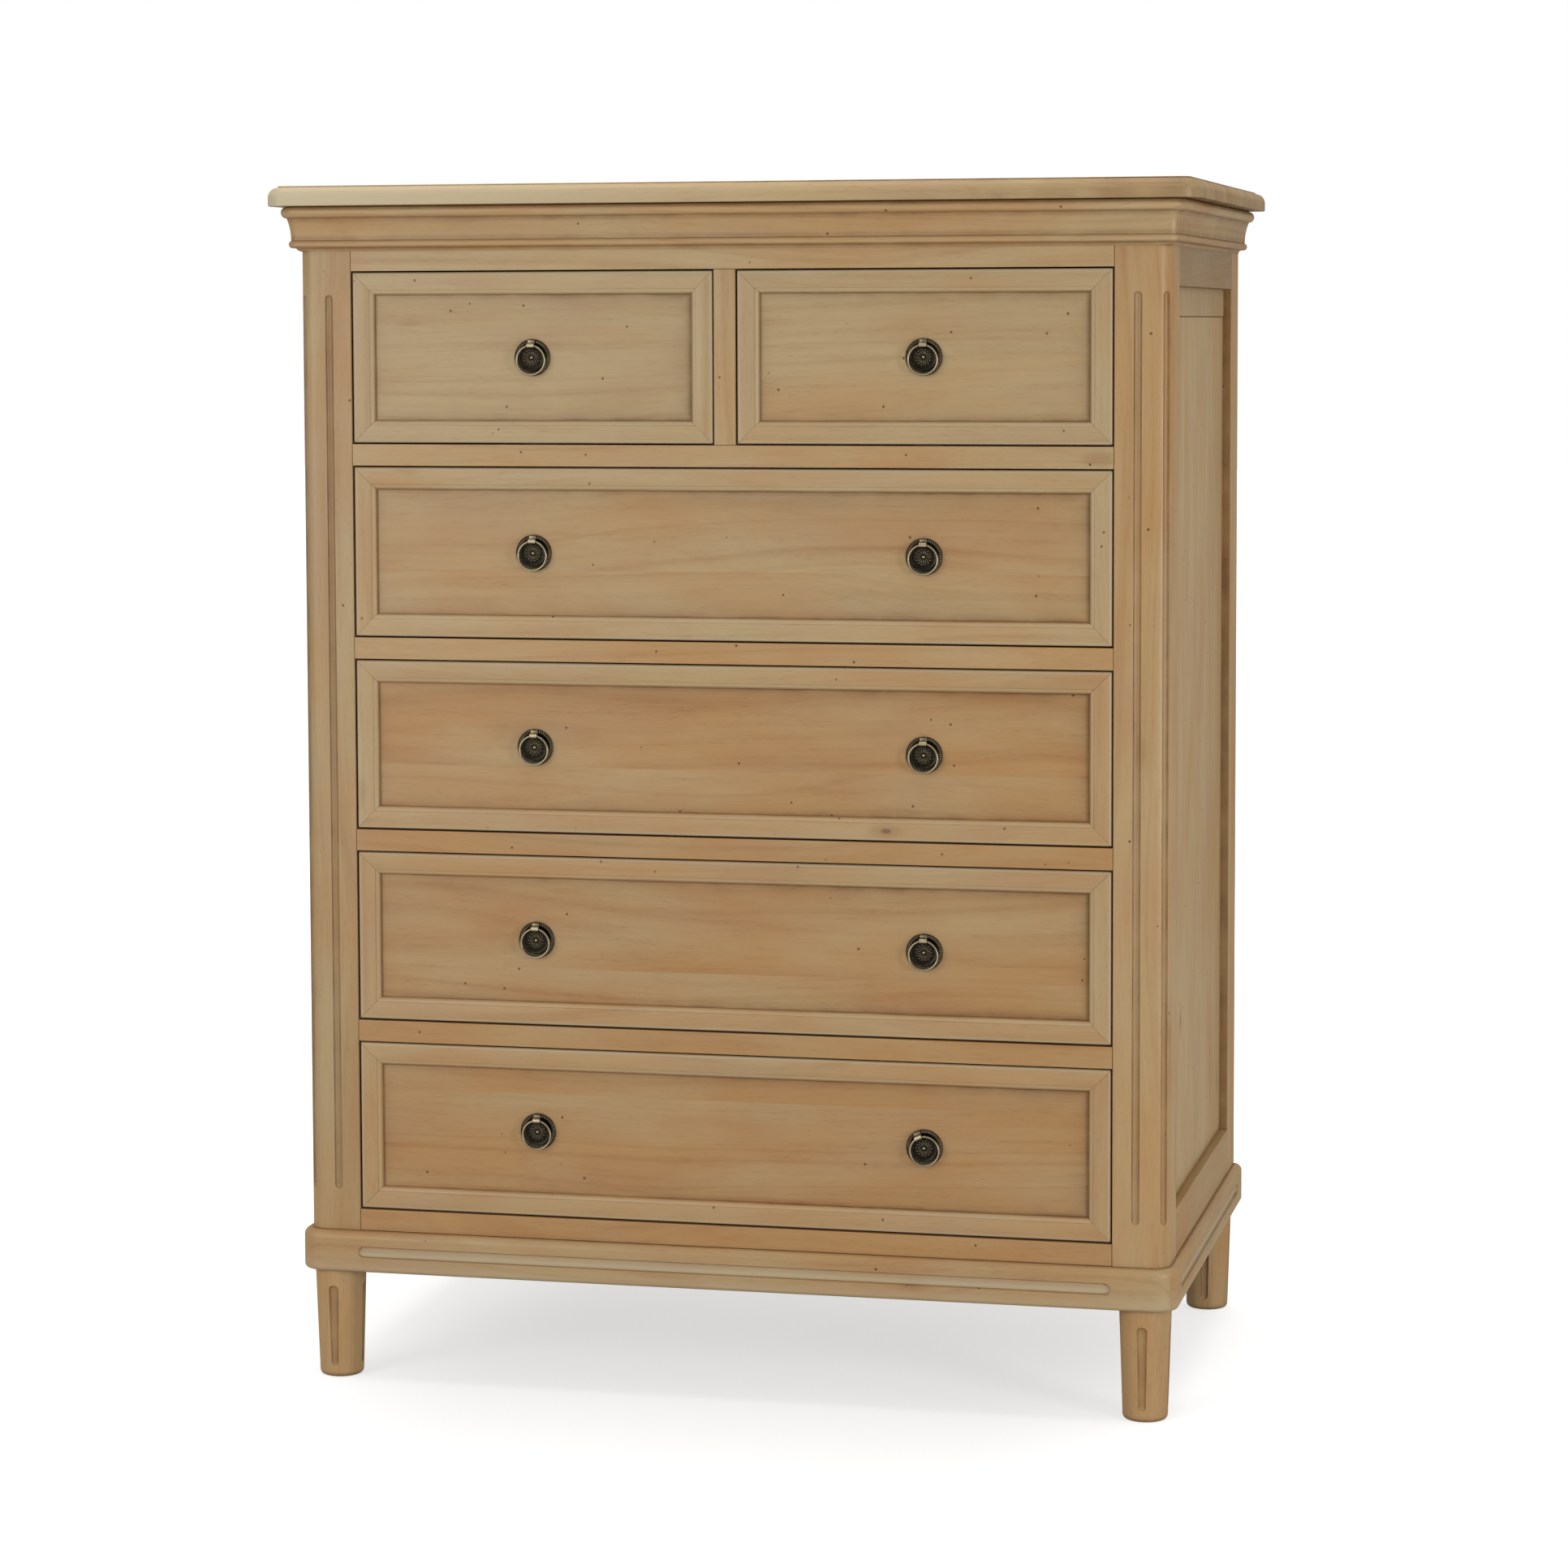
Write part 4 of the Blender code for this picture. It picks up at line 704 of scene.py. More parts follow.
def cornice_profile(z):
    """Section of the cornice from the top of its back, down its face, as (projection, height, painted
    shade, strongest in the quirks and under the beads).
    """
    points = [(GAP, z, 0.0)]
    half = (BEAD_HEIGHT - GAP) / 2
    bead = arc((BEAD_PROJECTION - half, z - half), half, 90, -90, 10)
    points += [(p, h, max(0.0, (i - 7) * 0.2)) for i, (p, h) in enumerate(bead)]
    z -= BEAD_HEIGHT - GAP
    points.append((FACE_TOP_PROJECTION + GAP, z, 0.9))
    for i in range(1, 9):
        along = i / 8
        out = FACE_TOP_PROJECTION + (FACE_FOOT_PROJECTION - FACE_TOP_PROJECTION) * along
        out -= FACE_HOLLOW * sin(pi * along)
        points.append((out, z - FACE_HEIGHT * along, 0.15 if 1 < i < 7 else 0.5))
    z -= FACE_HEIGHT
    points.append((FACE_FOOT_PROJECTION, z - TINY, 0.9))
    half = LOWER_BEAD_HEIGHT / 2
    bead = arc((LOWER_BEAD_PROJECTION - half, z - half), half, 90, -90, 8)
    points += [(p, h, 0.0 if 1 < i < 6 else 0.45) for i, (p, h) in enumerate(bead)]
    z -= LOWER_BEAD_HEIGHT
    cove = arc((GAP + COVE_RADIUS, z - COVE_RADIUS), COVE_RADIUS, 90, 180, 4)
    points += [(p, h, 0.5) for p, h in cove]
    return points


def make_cornice():
    profile = cornice_profile(CASE_TOP)
    dark = [g for p, h, g in profile]

    def ring(side, turn):
        points = []
        for p, h, g in profile:
            radius = CORNER_RADIUS if p < GAP + TINY else CORNICE_RADIUS
            points.append((*path_point(HALF_CASE, FRONT, radius, side, turn, p), h))
        return points

    front = [ring(-1, turn) for turn in range(45, -1, -5)] + [ring(1, turn) for turn in range(0, 46, 5)]
    dress_wood(loft("cornice_front", front, dark), "cornice", "x", TONES["cornice_front"])
    for side_name, side in SIDES.items():
        rings = [ring(side, turn) for turn in range(45, 91, 5)]
        rings.append([(side * (HALF_CASE + p), BACK, h) for p, h, g in profile])
        dress_wood(loft(f"cornice_{side_name}", rings, dark), "cornice", "y", TONES["cornice_side"])


def plinth_profile(open_):
    """Outer section of a plinth rail as (inset, height, a value that paints shade where positive and pales
    where negative), with its groove this far open.
    """
    upper = arc((PLINTH_TOP_RADIUS, PLINTH_TOP - PLINTH_TOP_RADIUS), PLINTH_TOP_RADIUS, 90, 180, 8)
    lower = arc((PLINTH_FOOT_RADIUS, LEG_TOP + PLINTH_FOOT_RADIUS), PLINTH_FOOT_RADIUS, 180, 270, 6)
    wide = GROOVE_HALF_WIDTH * max(open_, SHUT)
    middle = PLINTH_TOP - GROOVE_DROP
    points = [(x, z, 0.3 if i == 0 else 0.0) for i, (x, z) in enumerate(upper)]
    points += [(d * GROOVE_DEPTH * open_, middle - p * wide, g * open_) for p, d, g in PALE_GROOVE]
    points += [(x, z, -0.3) for x, z in lower]
    return points


def plinth_ring(place, inner, open_):
    """One section of a plinth rail, and its values of painted shade and paling: place(inset) gives the
    outer face's X and Y.
    """
    profile = plinth_profile(open_)
    ring = [(*place(inset), z) for inset, z, g in profile]
    ring += [(*inner, LEG_TOP), (*inner, PLINTH_TOP)]
    return ring, [g for inset, z, g in profile] + [0.0, 0.3]


def make_plinth():
    half = HALF_CASE + PLINTH_PROJECTION
    front = FRONT - PLINTH_PROJECTION
    inner_x = half - PLINTH_RAIL_WIDTH
    inner_y = front + PLINTH_RAIL_WIDTH

    def corner(side, turn):
        def place(inset):
            return path_point(half, front, PLINTH_RADIUS, side, turn, -inset)
        return plinth_ring(place, (side * inner_x, inner_y), 0.0)

    def dress(node, parts, axis, tone):
        rings, painted_light_and_wear = zip(*parts)
        dress_wood(loft(f"{node}_grooved", rings, painted_light_and_wear), node, axis, tone)

    parts = [corner(-1, turn) for turn in range(45, -1, -5)]
    for x, open_ in groove_stations(-HALF_OPENING, HALF_OPENING, GROOVE_HALF_WIDTH):
        across = max(-inner_x, min(inner_x, x))
        parts.append(plinth_ring(lambda inset: (x, front + inset), (across, inner_y), open_))
    parts += [corner(1, turn) for turn in range(0, 46, 5)]
    dress("plinth_front", parts, "x", TONES["plinth_front"])

    start = FRONT + SIDE_GROOVE_MARGIN
    end = BACK - SIDE_GROOVE_MARGIN
    for side_name, side in SIDES.items():
        parts = [corner(side, turn) for turn in range(45, 91, 5)]
        for y, open_ in [*groove_stations(start, end, GROOVE_HALF_WIDTH), (BACK - GAP, 0.0)]:
            inner = (side * inner_x, max(inner_y, y))
            parts.append(plinth_ring(lambda inset: (side * (half - inset), y), inner, open_))
        dress(f"plinth_{side_name}", parts, "y", TONES["plinth_side"])


def make_leg(name):
    """A turned leg with four tapering flutes."""
    centre = (low(name) + high(name)) / 2
    top = LEG_TOP - GAP
    start, end = LEG_FLUTE_FOOT, top - LEG_FLUTE_MARGIN
    foot = arc((LEG_FOOT_RADIUS - LEG_FOOT_ROUND, LEG_FOOT_ROUND), LEG_FOOT_ROUND, -90, 0, 6)[:-1]
    stations = [(r, z, 0.0) for r, z in foot]
    flute = groove_stations(start, end, LEG_FLUTE_NOSE)
    for z, open_ in [(LEG_FOOT_ROUND, 0.0), *flute, (top - LEG_TOP_ROUND, 0.0)]:
        along = (z - LEG_FOOT_ROUND) / (top - LEG_FOOT_ROUND)
        stations.append((LEG_FOOT_RADIUS + (LEG_TOP_RADIUS - LEG_FOOT_RADIUS) * along, z, open_))
    stations.append((LEG_TOP_RADIUS - ARRIS, top, 0.0))
    rings, painted_light_and_wear = [], []
    for radius, z, open_ in stations:
        share = min(1.0, max(0.0, (z - start) / (end - start)))
        widths, depths = LEG_FLUTE_HALF_WIDTHS, LEG_FLUTE_DEPTHS
        wide = (widths[0] + (widths[1] - widths[0]) * share) * max(open_, SHUT)
        deep = (depths[0] + (depths[1] - depths[0]) * share) * open_
        half = GROOVE[-1][0] * wide / radius
        ring, dark = [], []
        for quarter in range(4):
            middle = quarter * pi / 2
            for p, d, g in GROOVE:
                ring.append((radius - d * deep, middle + p * wide / radius))
                # Flute bottoms are darkened, partly stain and partly painted shade, most on the flutes
                # facing ±X
                dark.append(min(1.0, g + LEG_STAIN_AND_SHADE[quarter % 2] * d) * open_)
            gap = pi / 2 - 2 * half
            for step in range(1, 9):
                ring.append((radius, middle + half + gap * step / 9))
                dark.append(0.0)
        rings.append([(*polar(r, angle, centre), z) for r, angle in ring])
        painted_light_and_wear.append(dark)
    dress_wood(loft(f"{name}_fluted", rings, painted_light_and_wear), name, "z", TONES["leg"])


def rear_post_section():
    """The plan of a rear post, darker on the wall that faces the side panel."""
    front = REAR_POST_FRONT
    return [(HALF_OPENING, BEHIND, 0.0), (HALF_OPENING, front, 0.0), (PANEL_FACE - REAR_ARRIS, front, 0.9),
            (PANEL_FACE + 2 * REAR_ARRIS, front, 0.85), (HALF_CASE - 2 * REAR_ARRIS, front, 0.65),
            (HALF_CASE - REAR_ARRIS, front, 0.2), (HALF_CASE, front + REAR_ARRIS, -0.2),
            (HALF_CASE, front + 3 * REAR_ARRIS, 0.0), (HALF_CASE, BEHIND, 0.0)]


def make_sides():
    """Rear posts, side rails, and side panels with a seam below the top rail."""
    height = (CASE_BOTTOM, CASE_TOP)
    section = rear_post_section()
    painted_light_and_wear = [g for x, y, g in section]
    lip_start = high("back_panel").x + 2 * GAP
    for side_name, side in SIDES.items():
        node = f"post_rear_{side_name}"
        rings = [[(side * x, y, z) for x, y, g in section] for z in height]
        dress_wood(loft(f"{node}_board", rings, painted_light_and_wear), node, "z", TONES["post_rear"])
        lip = board(f"{node}_lip", span(side, lip_start, HALF_CASE), (BEHIND, BACK), height, LIP_ARRIS)
        dress_wood(lip, node, "z", TONES["post_rear"])
        rails = {}
        for level in ("top", "bottom"):
            node = f"side_{level}_rail_{side_name}"
            rails[level] = (low(node).z, high(node).z)
            x = span(side, SIDE_RAIL_BACK, HALF_CASE)
            rail = board(f"{node}_board", x, BETWEEN_POSTS, rails[level], SIDE_ARRIS)
            dress_wood(rail, node, "y", TONES[f"side_{level}_rail"])
        node = f"side_panel_{side_name}"
        seam = rails["top"][0] - SEAM_DROP
        field_z = (rails["bottom"][1] - GAP, seam - SEAM_GAP / 2)
        strip_z = (seam + SEAM_GAP / 2, rails["top"][0] + GAP)
        for part, face, z in (("field", PANEL_FACE - SEAM_STEP, field_z), ("strip", PANEL_FACE, strip_z)):
            panel = board(f"{node}_{part}", span(side, PANEL_BACK, face), BETWEEN_POSTS, z, SIDE_ARRIS)
            dress_wood(panel, node, "side", TONES[f"panel_{part}"], "case", BOARDS_PER_METRE)


def make_row(node, foot, top):
    """A front rail with the dust board, guides and stops behind it."""
    rail = board(f"{node}_rail", RAIL_SPAN, (FRONT, POST_BACK), (foot, top), RAIL_ARRIS)
    dress_wood(rail, node, "x", TONES[node])

    def dress(label, axis, x, y, z):
        dress_wood(board(f"{node}_{label}", x, y, z), node, axis, TONES["inside"])

    dress("dust_board", "x", RAIL_SPAN, (POST_BACK + GAP, BEHIND), (top - BOARD_THICKNESS, top - TINY))
    wall = SIDE_RAIL_BACK if node == "bottom_board" else PANEL_BACK
    stop_x = (HALF_OPENING + HALF_STILE - STOP_WIDTH) / 2
    back_of_front = high("drawer_front_2").y + GAP
    stop_y = (back_of_front, back_of_front + STOP_DEPTH)
    for side_name, side in SIDES.items():
        dress(f"guide_{side_name}", "y", span(side, HALF_OPENING + TINY, wall - GAP), BETWEEN_POSTS,
              (top - BOARD_THICKNESS, top + GUIDE_HEIGHT))
        dress(f"stop_{side_name}", "x", span(side, stop_x, stop_x + STOP_WIDTH), stop_y,
              (top - TINY, top + STOP_HEIGHT))
    if node == "divider_1":
        dress("guide_middle", "y", (-HALF_STILE, HALF_STILE), (FRONT + STILE_DEPTH + GAP, BEHIND),
              (top - TINY, top + GUIDE_HEIGHT))


def make_front_frame():
    """Top rail, the stile between the small drawers, and the rows' rails."""
    opening_low = low("drawer_front_1_left").z - FRONT_EDGE_GAP
    opening_high = high("drawer_front_1_left").z + FRONT_EDGE_GAP
    rail = board("top_rail_board", RAIL_SPAN, (FRONT, high("top_rail").y), (opening_high, CASE_TOP))
    dress_wood(rail, "top_rail", "x", TONES["top_rail"])
    stile = board("centre_stile_board", (-HALF_STILE, HALF_STILE), (FRONT, FRONT + STILE_DEPTH),
                  (opening_low + GAP, opening_high - GAP))
    dress_wood(stile, "centre_stile", "z", TONES["centre_stile"])
    for number, above in enumerate(("1_left", "2", "3", "4"), 1):
        foot = high(f"drawer_front_{number + 1}").z + FRONT_EDGE_GAP
        make_row(f"divider_{number}", foot, low(f"drawer_front_{above}").z - FRONT_EDGE_GAP)
    make_row("bottom_board", CASE_BOTTOM, LOWEST_OPENING)


def frame_profile(thickness):
    """Section of a drawer frame as (inset from its edge, depth behind its face, glaze)."""
    points = [(GAP, thickness, 0.0), (GAP, FRONT_LAP + TINY, 0.0), (0.0, FRONT_LAP, 0.0), *FRAME_EDGE]
    flat_end = FRAME_FLAT - 2 * TINY
    for i in range(9):
        inset = FRAME_FLAT_START + (flat_end - FRAME_FLAT_START) * i / 8
        away = 2 * inset / FRAME_FLAT - 1
        points.append((inset, FRAME_CROWN * away * away, FRAME_FLAT_GLAZE))
    points += [(FRAME_FLAT, FRAME_STEP - 2 * TINY, 0.0), (FRAME_FLAT + TINY, FRAME_STEP, 0.1)]
    start = FRAME_FLAT + 2 * TINY
    width = FRAME_WIDTH - TINY - start
    drop = FRAME_RECESS - FRAME_STEP
    for i, painted_light_and_wear in enumerate(FRAME_OVOLO_LIGHT_AND_SHADE):
        turn = pi / 2 * i / (len(FRAME_OVOLO_LIGHT_AND_SHADE) - 1)
        points.append((start + width * sin(turn), FRAME_STEP + drop * (1 - cos(turn)), painted_light_and_wear))
    points += [(FRAME_WIDTH, FRAME_RECESS + 4 * TINY, 1.0), (FRAME_WIDTH, thickness, 0.0)]
    return points


# Panel outlines from the back edge to the middle of the face, as (inset, whether at the back, painted shade
# along the frame)
PANEL_RINGS = [(0.0, True, 0.0), (0.0, False, 0.9), (0.0016, False, 0.45), (0.0050, False, 0.24),
               (0.0120, False, 0.10), (0.0240, False, 0.03), (0.0400, False, 0.0)]
# The painted shade is heavier along the right, as a painted shadow of the right stile
LEFT_PAINTED_SHADE, RIGHT_PAINTED_SHADE = 0.7, 1.7


def make_drawer_front(name):
    """A drawer front's four mitred frame members and its panel."""
    node = f"drawer_front_{name}"
    body = f"drawer_{name}"
    lowest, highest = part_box(node)
    x = (lowest.x, highest.x)
    z = (lowest.z, highest.z)
    face = lowest.y
    profile = frame_profile(highest.y - face)
    dark = [g for t, d, g in profile]
    warmth, shade = ROW_TONES[name[0]]

    def member(label, axis, point):
        rings = [[point(end, t, d) for t, d, g in profile] for end in (0, 1)]
        tone = (FRAME_WARMTH * warmth, shade)
        dress_wood(loft(f"{body}_{label}", rings, dark), node, axis, tone, body)

    def along(edges, end, t):
        reach = t + MITRE_GAP
        return edges[0] + reach if end == 0 else edges[1] - reach

    member("rail_top", "x", lambda end, t, d: (along(x, end, t), face + d, z[1] - t))
    member("rail_bottom", "x", lambda end, t, d: (along(x, end, t), face + d, z[0] + t))
    member("stile_left", "z", lambda end, t, d: (x[0] + t, face + d, along(z, end, t)))
    member("stile_right", "z", lambda end, t, d: (x[1] - t, face + d, along(z, end, t)))
    rings, painted_light_and_wear = [], []
    for inset, at_back, dark in PANEL_RINGS:
        reach = FRAME_WIDTH - TINY + inset
        y = highest.y - GAP if at_back else face + FRAME_RECESS
        rings.append([(x[0] + reach, y, z[0] + reach), (x[1] - reach, y, z[0] + reach),
                      (x[1] - reach, y, z[1] - reach), (x[0] + reach, y, z[1] - reach)])
        painted_light_and_wear.append([dark * side_shade for side_shade in (LEFT_PAINTED_SHADE, RIGHT_PAINTED_SHADE, RIGHT_PAINTED_SHADE, LEFT_PAINTED_SHADE)])
    dress_wood(loft(f"{body}_panel", rings, painted_light_and_wear), node, "x", (warmth, shade), body,
               BOARDS_PER_METRE)


def ease(value, start, end):
    share = min(1.0, max(0.0, (value - start) / (end - start)))
    return share * share * (3 - 2 * share)


def dome(away):
    """Height of a half circle this share of its radius away from the middle."""
    return sqrt(max(0.0, 1 - away * away))


def plate_height(radius, angle):
    """How far the backplate stands off the panel at a place, and how rubbed it is there."""
    if radius <= BOSS_RADIUS:
        return BOSS_HEIGHT + BOSS_SWELL * dome(radius / BOSS_RADIUS), 0.85
    if radius < PETAL_ROOT:
        return ROSETTE_HEIGHT, 0.0
    if radius < PETAL_TIP:
        along = (radius - PETAL_ROOT) / (PETAL_TIP - PETAL_ROOT)
        width = 0.25 + 0.75 * sin(pi * along) ** 0.7
        petal = max(0.0, 1 - (1 - abs(cos(angle * PETALS / 2))) / (0.45 * width)) ** 0.6
        petal *= ease(along, 0.0, 0.15) * (1 - ease(along, 0.8, 1.0))
        return ROSETTE_HEIGHT + PETAL_SWELL * petal, 0.32 * petal
    if radius < PEARLS_END:
        turn = (angle * PETALS / (2 * pi)) % 1.0 - 0.5
        aside = turn * 2 * pi / PETALS * PEARL_CIRCLE
        pearl = dome(hypot(radius - PEARL_CIRCLE, aside) / PEARL_RADIUS)
        return PEARL_HEIGHT + PEARL_SWELL * pearl, 0.34 * pearl
    if radius < DISH_END:
        across = (radius - DISH_MIDDLE) / (DISH_END - DISH_MIDDLE)
        return DISH_HEIGHT + DISH_HOLLOW * across * across, 0.10 * ease(radius, *DISH_RUB)
    if radius < ROPE_START:
        return DISH_HEIGHT + DISH_HOLLOW - DISH_DROP * ease(radius, DISH_END, DISH_END + DISH_WALL), 0.0
    if radius < ROPE_END:
        strand = (0.5 + 0.5 * cos(ROPE_TURNS * angle)) ** 2
        swell = dome(min(1.0, abs(radius - ROPE_RADIUS) / ROPE_HALF_WIDTH))
        return ROPE_HEIGHT + swell * (ROPE_SWELL[0] + ROPE_SWELL[1] * strand), swell * strand * 0.95
    fall = ease(radius, ROPE_END + TINY, PLATE_RADIUS)
    return RIM_HEIGHT - RIM_FALL * fall, 0.05 + 0.12 * ease(radius, *RIM_RUB)


# Radii of the backplate's rings of points, as (first, last, count)
PLATE_ZONES = [(0.0003, BOSS_RADIUS, 5), (BOSS_RADIUS + TINY, PETAL_ROOT - TINY, 3),
               (PETAL_ROOT + TINY, PETAL_TIP - TINY, 9), (PETAL_TIP + TINY, PEARLS_END - TINY, 8),
               (PEARLS_END + 4 * TINY, DISH_END - TINY, 7), (DISH_END, DISH_END + 6 * TINY, 3),
               (ROPE_START - 5 * TINY, ROPE_START - TINY, 2), (ROPE_START + TINY, ROPE_END - TINY, 9),
               (ROPE_END + TINY, PLATE_RADIUS, 4)]


def full_turn(steps):
    """Angles round a full turn."""
    return [2 * pi * i / steps for i in range(steps)]


def make_plate_mesh():
    """A backplate with rosette, raised dish and rope rim, facing -Y about its centre."""
    around = full_turn(ROPE_TURNS * 4)
    rings, wear_and_sheen = [], []
    for first, last, count in PLATE_ZONES:
        for step in range(count):
            radius = first + (last - first) * step / (count - 1)
            ring, rubbed = [], []
            for angle in around:
                height, rub_and_sheen = plate_height(radius, angle)
                ring.append((radius * sin(angle), -height, radius * cos(angle)))
                rubbed.append(rub_and_sheen)
            rings.append(ring)
            wear_and_sheen.append(rubbed)
    rings.append([(x, -GAP, z) for x, y, z in rings[-1]])
    wear_and_sheen.append([0.0] * len(around))
    return loft("plate", rings, wear_and_sheen)


def turned_part(name, profile, steps):
    """A lathe shape about Y from (radius, place) pairs, closed at both ends."""
    circle = [polar(1.0, angle) for angle in full_turn(steps)]
    return loft(name, [[(radius * x, along, radius * z) for x, z in circle] for radius, along in profile])


def make_eye_mesh():
    """The tab that wraps the ring: a rolled eye with softened rims, on a strap."""
    half = EYE_HALF_WIDTH
    section = [(EYE_HOLE, half - EYE_INNER_ROUND), (EYE_HOLE + EYE_INNER_ROUND, half),
               (EYE_RADIUS - EYE_OUTER_ROUND, half), (EYE_RADIUS, half - EYE_OUTER_ROUND)]
    section += [(radius, -along) for radius, along in reversed(section)]
    hinge = (-RING_STANDOFF, HINGE_HEIGHT)
    rings, wear_and_sheen = [], []
    for angle in full_turn(32):
        rings.append([(along, *polar(radius, angle, hinge)) for radius, along in section])
        # Painted highlight on the eye's upper front, and painted shade on its underside
        rub_and_sheen = EYE_SHEEN[0] + EYE_SHEEN[1] * max(0.0, sin(angle + EYE_SHEEN_TILT))
        wear_and_sheen.append([rub_and_sheen] * len(section))
    bm = bmesh.new()
    add_rings(bm, rings, wear_and_sheen, closed=True)
    add_box(bm, STRAP_BOX, ARRIS, 3, STRAP_WEAR)
    return to_object("eye", bm)


def make_ring_mesh():
    """The round-wire drop ring, placed about the plate's centre."""
    rings, wear_and_sheen = [], []
    for angle in full_turn(96):
        ring, rubbed = [], []
        for around in full_turn(16):
            reach = RING_RADIUS + WIRE_RADIUS * cos(around)
            ring.append((reach * sin(angle), -RING_STANDOFF - WIRE_RADIUS * sin(around),
                         reach * cos(angle) - RING_DROP))
            rubbed.append(RING_WEAR[0] + RING_WEAR[1] * sin(around))
        rings.append(ring)
        wear_and_sheen.append(rubbed)
    return loft("ring", rings, wear_and_sheen, closed=True)


def as_metal(pattern, material, angle=SHARP_ANGLE):
    """A pattern's mesh in its metal, with its per-point values kept as wear and painted sheen. The pattern
    itself goes.
    """
    mesh = pattern.data
    mesh.attributes["painted_light_and_wear"].name = "wear_and_sheen"
    mesh.materials.append(material)
    smooth(mesh, angle)
    bpy.data.objects.remove(pattern)
    return mesh


def make_pulls():
    thickness = high("drawer_front_2").y - low("drawer_front_2").y
    nut_start = thickness - FRAME_RECESS + GAP
    bolt_end = nut_start + BOLT_LENGTH
    nut_end = nut_start + NUT_LENGTH
    bolt = [(BOLT_RADIUS, BOLT_START), (BOLT_RADIUS, bolt_end - SMALL_CHAMFER),
            (BOLT_RADIUS - SMALL_CHAMFER, bolt_end)]
    nut = [(NUT_RADIUS - SMALL_CHAMFER, nut_start), (NUT_RADIUS, nut_start + SMALL_CHAMFER),
           (NUT_RADIUS, nut_end - SMALL_CHAMFER), (NUT_RADIUS - SMALL_CHAMFER, nut_end)]
    parts = {"rosette_plate": (as_metal(make_plate_mesh(), bronze, PLATE_SHARP_ANGLE), "plate_bronze"),
             "eye": (as_metal(make_eye_mesh(), brass), "ring_brass"),
             "bolt": (as_metal(turned_part("bolt", bolt, 16), bronze), "plate_bronze"),
             "nut": (as_metal(turned_part("nut", nut, 6), bronze), "plate_bronze"),
             "drop_ring": (as_metal(make_ring_mesh(), brass), "ring_brass")}
    for drawer, sides in DRAWERS.items():
        panel = low(f"drawer_front_{drawer}").y + FRAME_RECESS
        for side_name in sides:
            label = f"{drawer[0]}_{side_name}"
            plate = f"pull_backplate_{label}"
            middle = (low(plate) + high(plate)) / 2
            turn = TURNED_PULL_ANGLE if label == TURNED_PULL else 0.0
            placed = Matrix.Translation((middle.x, panel, middle.z)) @ Matrix.Rotation(turn, 4, "Y")
            for part, (mesh, slot) in parts.items():
                piece = new_object(f"pull_{label}_{part}", mesh)
                piece.matrix_world = placed
                if part == "drop_ring":
                    tie(piece, f"pull_ring_{label}", f"ring_{label}")
                else:
                    tie(piece, plate, f"drawer_{drawer}")


def dress_kept_nodes():
    """Materials for the CAD nodes that stay: drawer boxes, back panel and back plinth rail."""
    kept = {f"drawer_box_{name}": box_wood for name in DRAWERS}
    kept["back_panel"] = back_wood
    kept["plinth_back"] = kept_wood
    for node, material in kept.items():
        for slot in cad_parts[node].material_slots:
            slot.material = material


# Camera and studio, with each light as (name, place, aim, size, power)
FOCAL_PIXELS = 5102.9
PICTURE = 1932
PRINCIPAL_Y = 780
CAMERA_PLACE = (1.13354, -4.86600, 1.24179)
YAW, PITCH, ROLL = 0.22881, -0.07455, -0.00326
SENSOR = 36.0
LIGHTS = [("left_box", (-2.6, -4.0, 1.5), (0.1, 0.0, 0.7), (2.6, 2.4), 82.0),
          ("right_box", (3.6, -2.6, 0.80), (0.1, 0.0, 0.3), (1.1, 1.8), 70.0),
          ("overhead", (0.0, 0.2, 3.6), (0.0, 0.0, 0.0), (3.0, 2.4), 66.0),
          ("back_box", (-0.4, 3.8, 1.6), (0.0, 0.3, 0.7), (3.0, 2.4), 20.0)]
FLOOR_SIZE = 30.0
FLOOR_GREY = (0.52, 0.52, 0.52, 1.0)
SHADOW_HALF_SIZE = (0.25, 0.40, 0.0)
SHADOW_FADE = 0.85
FLOOR_GLOW = 0.60
AMBIENT = 0.42
WHITE = (1, 1, 1, 1)


def make_camera():
    data = bpy.data.cameras.new("camera")
    data.sensor_width = SENSOR
    data.sensor_height = SENSOR
    data.lens = FOCAL_PIXELS / PICTURE * SENSOR
    data.shift_y = (PRINCIPAL_Y - PICTURE / 2) / PICTURE
    data.clip_end = 100.0
    place = Matrix.Translation(CAMERA_PLACE)
    for angle, axis in ((YAW, "Z"), (pi / 2 + PITCH, "X"), (ROLL, "Z")):
        place @= Matrix.Rotation(angle, 4, axis)
    camera = new_object("camera", data)
    camera.matrix_world = place
    bpy.context.scene.camera = camera


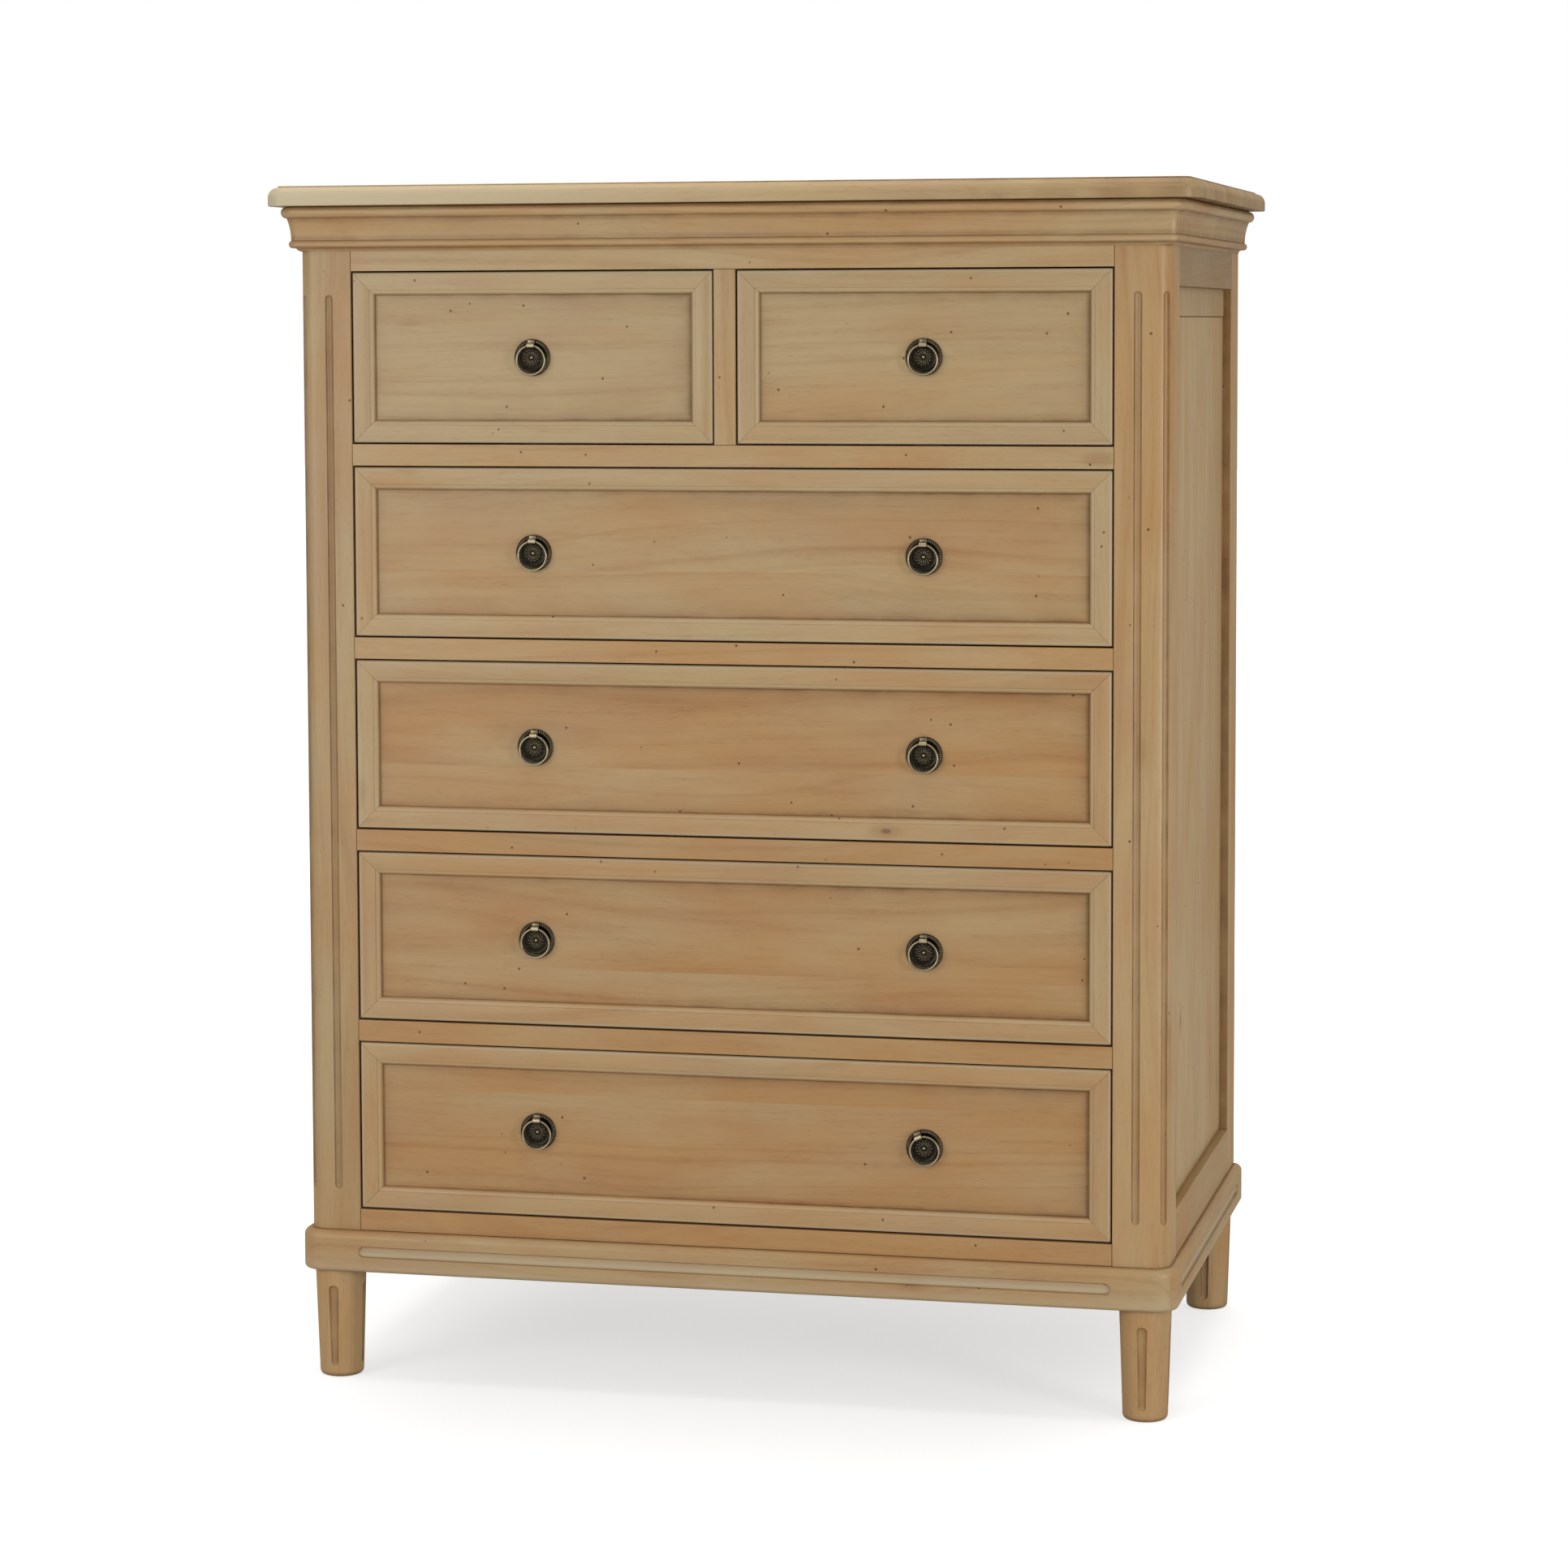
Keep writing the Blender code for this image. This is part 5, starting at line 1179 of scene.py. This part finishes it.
def make_light(name, place, aim, size, power):
    data = bpy.data.lights.new(name, "AREA")
    data.shape = "RECTANGLE"
    data.size, data.size_y = size
    data.energy = power
    light = new_object(name, data)
    light.location = place
    light.rotation_euler = (Vector(aim) - Vector(place)).to_track_quat("-Z", "Y").to_euler()


def seen_directly(tree):
    """1 for rays from the camera, from reflections and through glass, and 0 for all other light."""
    path = add(tree, "LightPath")
    return maths(tree, "MAXIMUM", path["Is Camera Ray"],
                 maths(tree, "MAXIMUM", path["Is Glossy Ray"], path["Is Transmission Ray"]))


def make_studio():
    """A white studio, whose floor keeps the object's shadow and fades to white further off."""
    made, tree = new_material("pale_floor")
    lit = add(tree, "BsdfDiffuse", {"Color": FLOOR_GREY})[0]
    away = vectors(tree, "SUBTRACT", vectors(tree, "ABSOLUTE", object_place(tree)), SHADOW_HALF_SIZE)
    away = vectors(tree, "LENGTH", vectors(tree, "MAXIMUM", away))
    share = remap(tree, away, 0.0, SHADOW_FADE, FLOOR_GLOW, 1.0, True)
    strength = maths(tree, "MULTIPLY", seen_directly(tree), share)
    glow = add(tree, "Emission", {"Color": WHITE, "Strength": strength})[0]
    add(tree, "OutputMaterial", {"Surface": add(tree, "AddShader", {0: lit, 1: glow})[0]})
    bm = bmesh.new()
    bmesh.ops.create_grid(bm, x_segments=1, y_segments=1, size=FLOOR_SIZE)
    floor = to_object("floor", bm)
    floor.data.materials.append(made)

    world = bpy.data.worlds.new("studio")
    world.use_nodes = True
    tree = world.node_tree
    tree.nodes.clear()
    strength = remap(tree, seen_directly(tree), 0.0, 1.0, AMBIENT, 1.0)
    back = add(tree, "Background", {"Color": WHITE, "Strength": strength})[0]
    add(tree, "OutputWorld", {"Surface": back})
    bpy.context.scene.world = world

    for light in LIGHTS:
        make_light(*light)
    bpy.context.scene.view_settings.view_transform = "Standard"


make_camera()
make_studio()
make_top_board()
make_cornice()
for name, side in SIDES.items():
    make_front_post(name, side)
make_sides()
make_front_frame()
make_plinth()
for row in ("front", "rear"):
    for name in SIDES:
        make_leg(f"leg_{row}_{name}")
for drawer_name in DRAWERS:
    make_drawer_front(drawer_name)
make_pulls()
dress_kept_nodes()
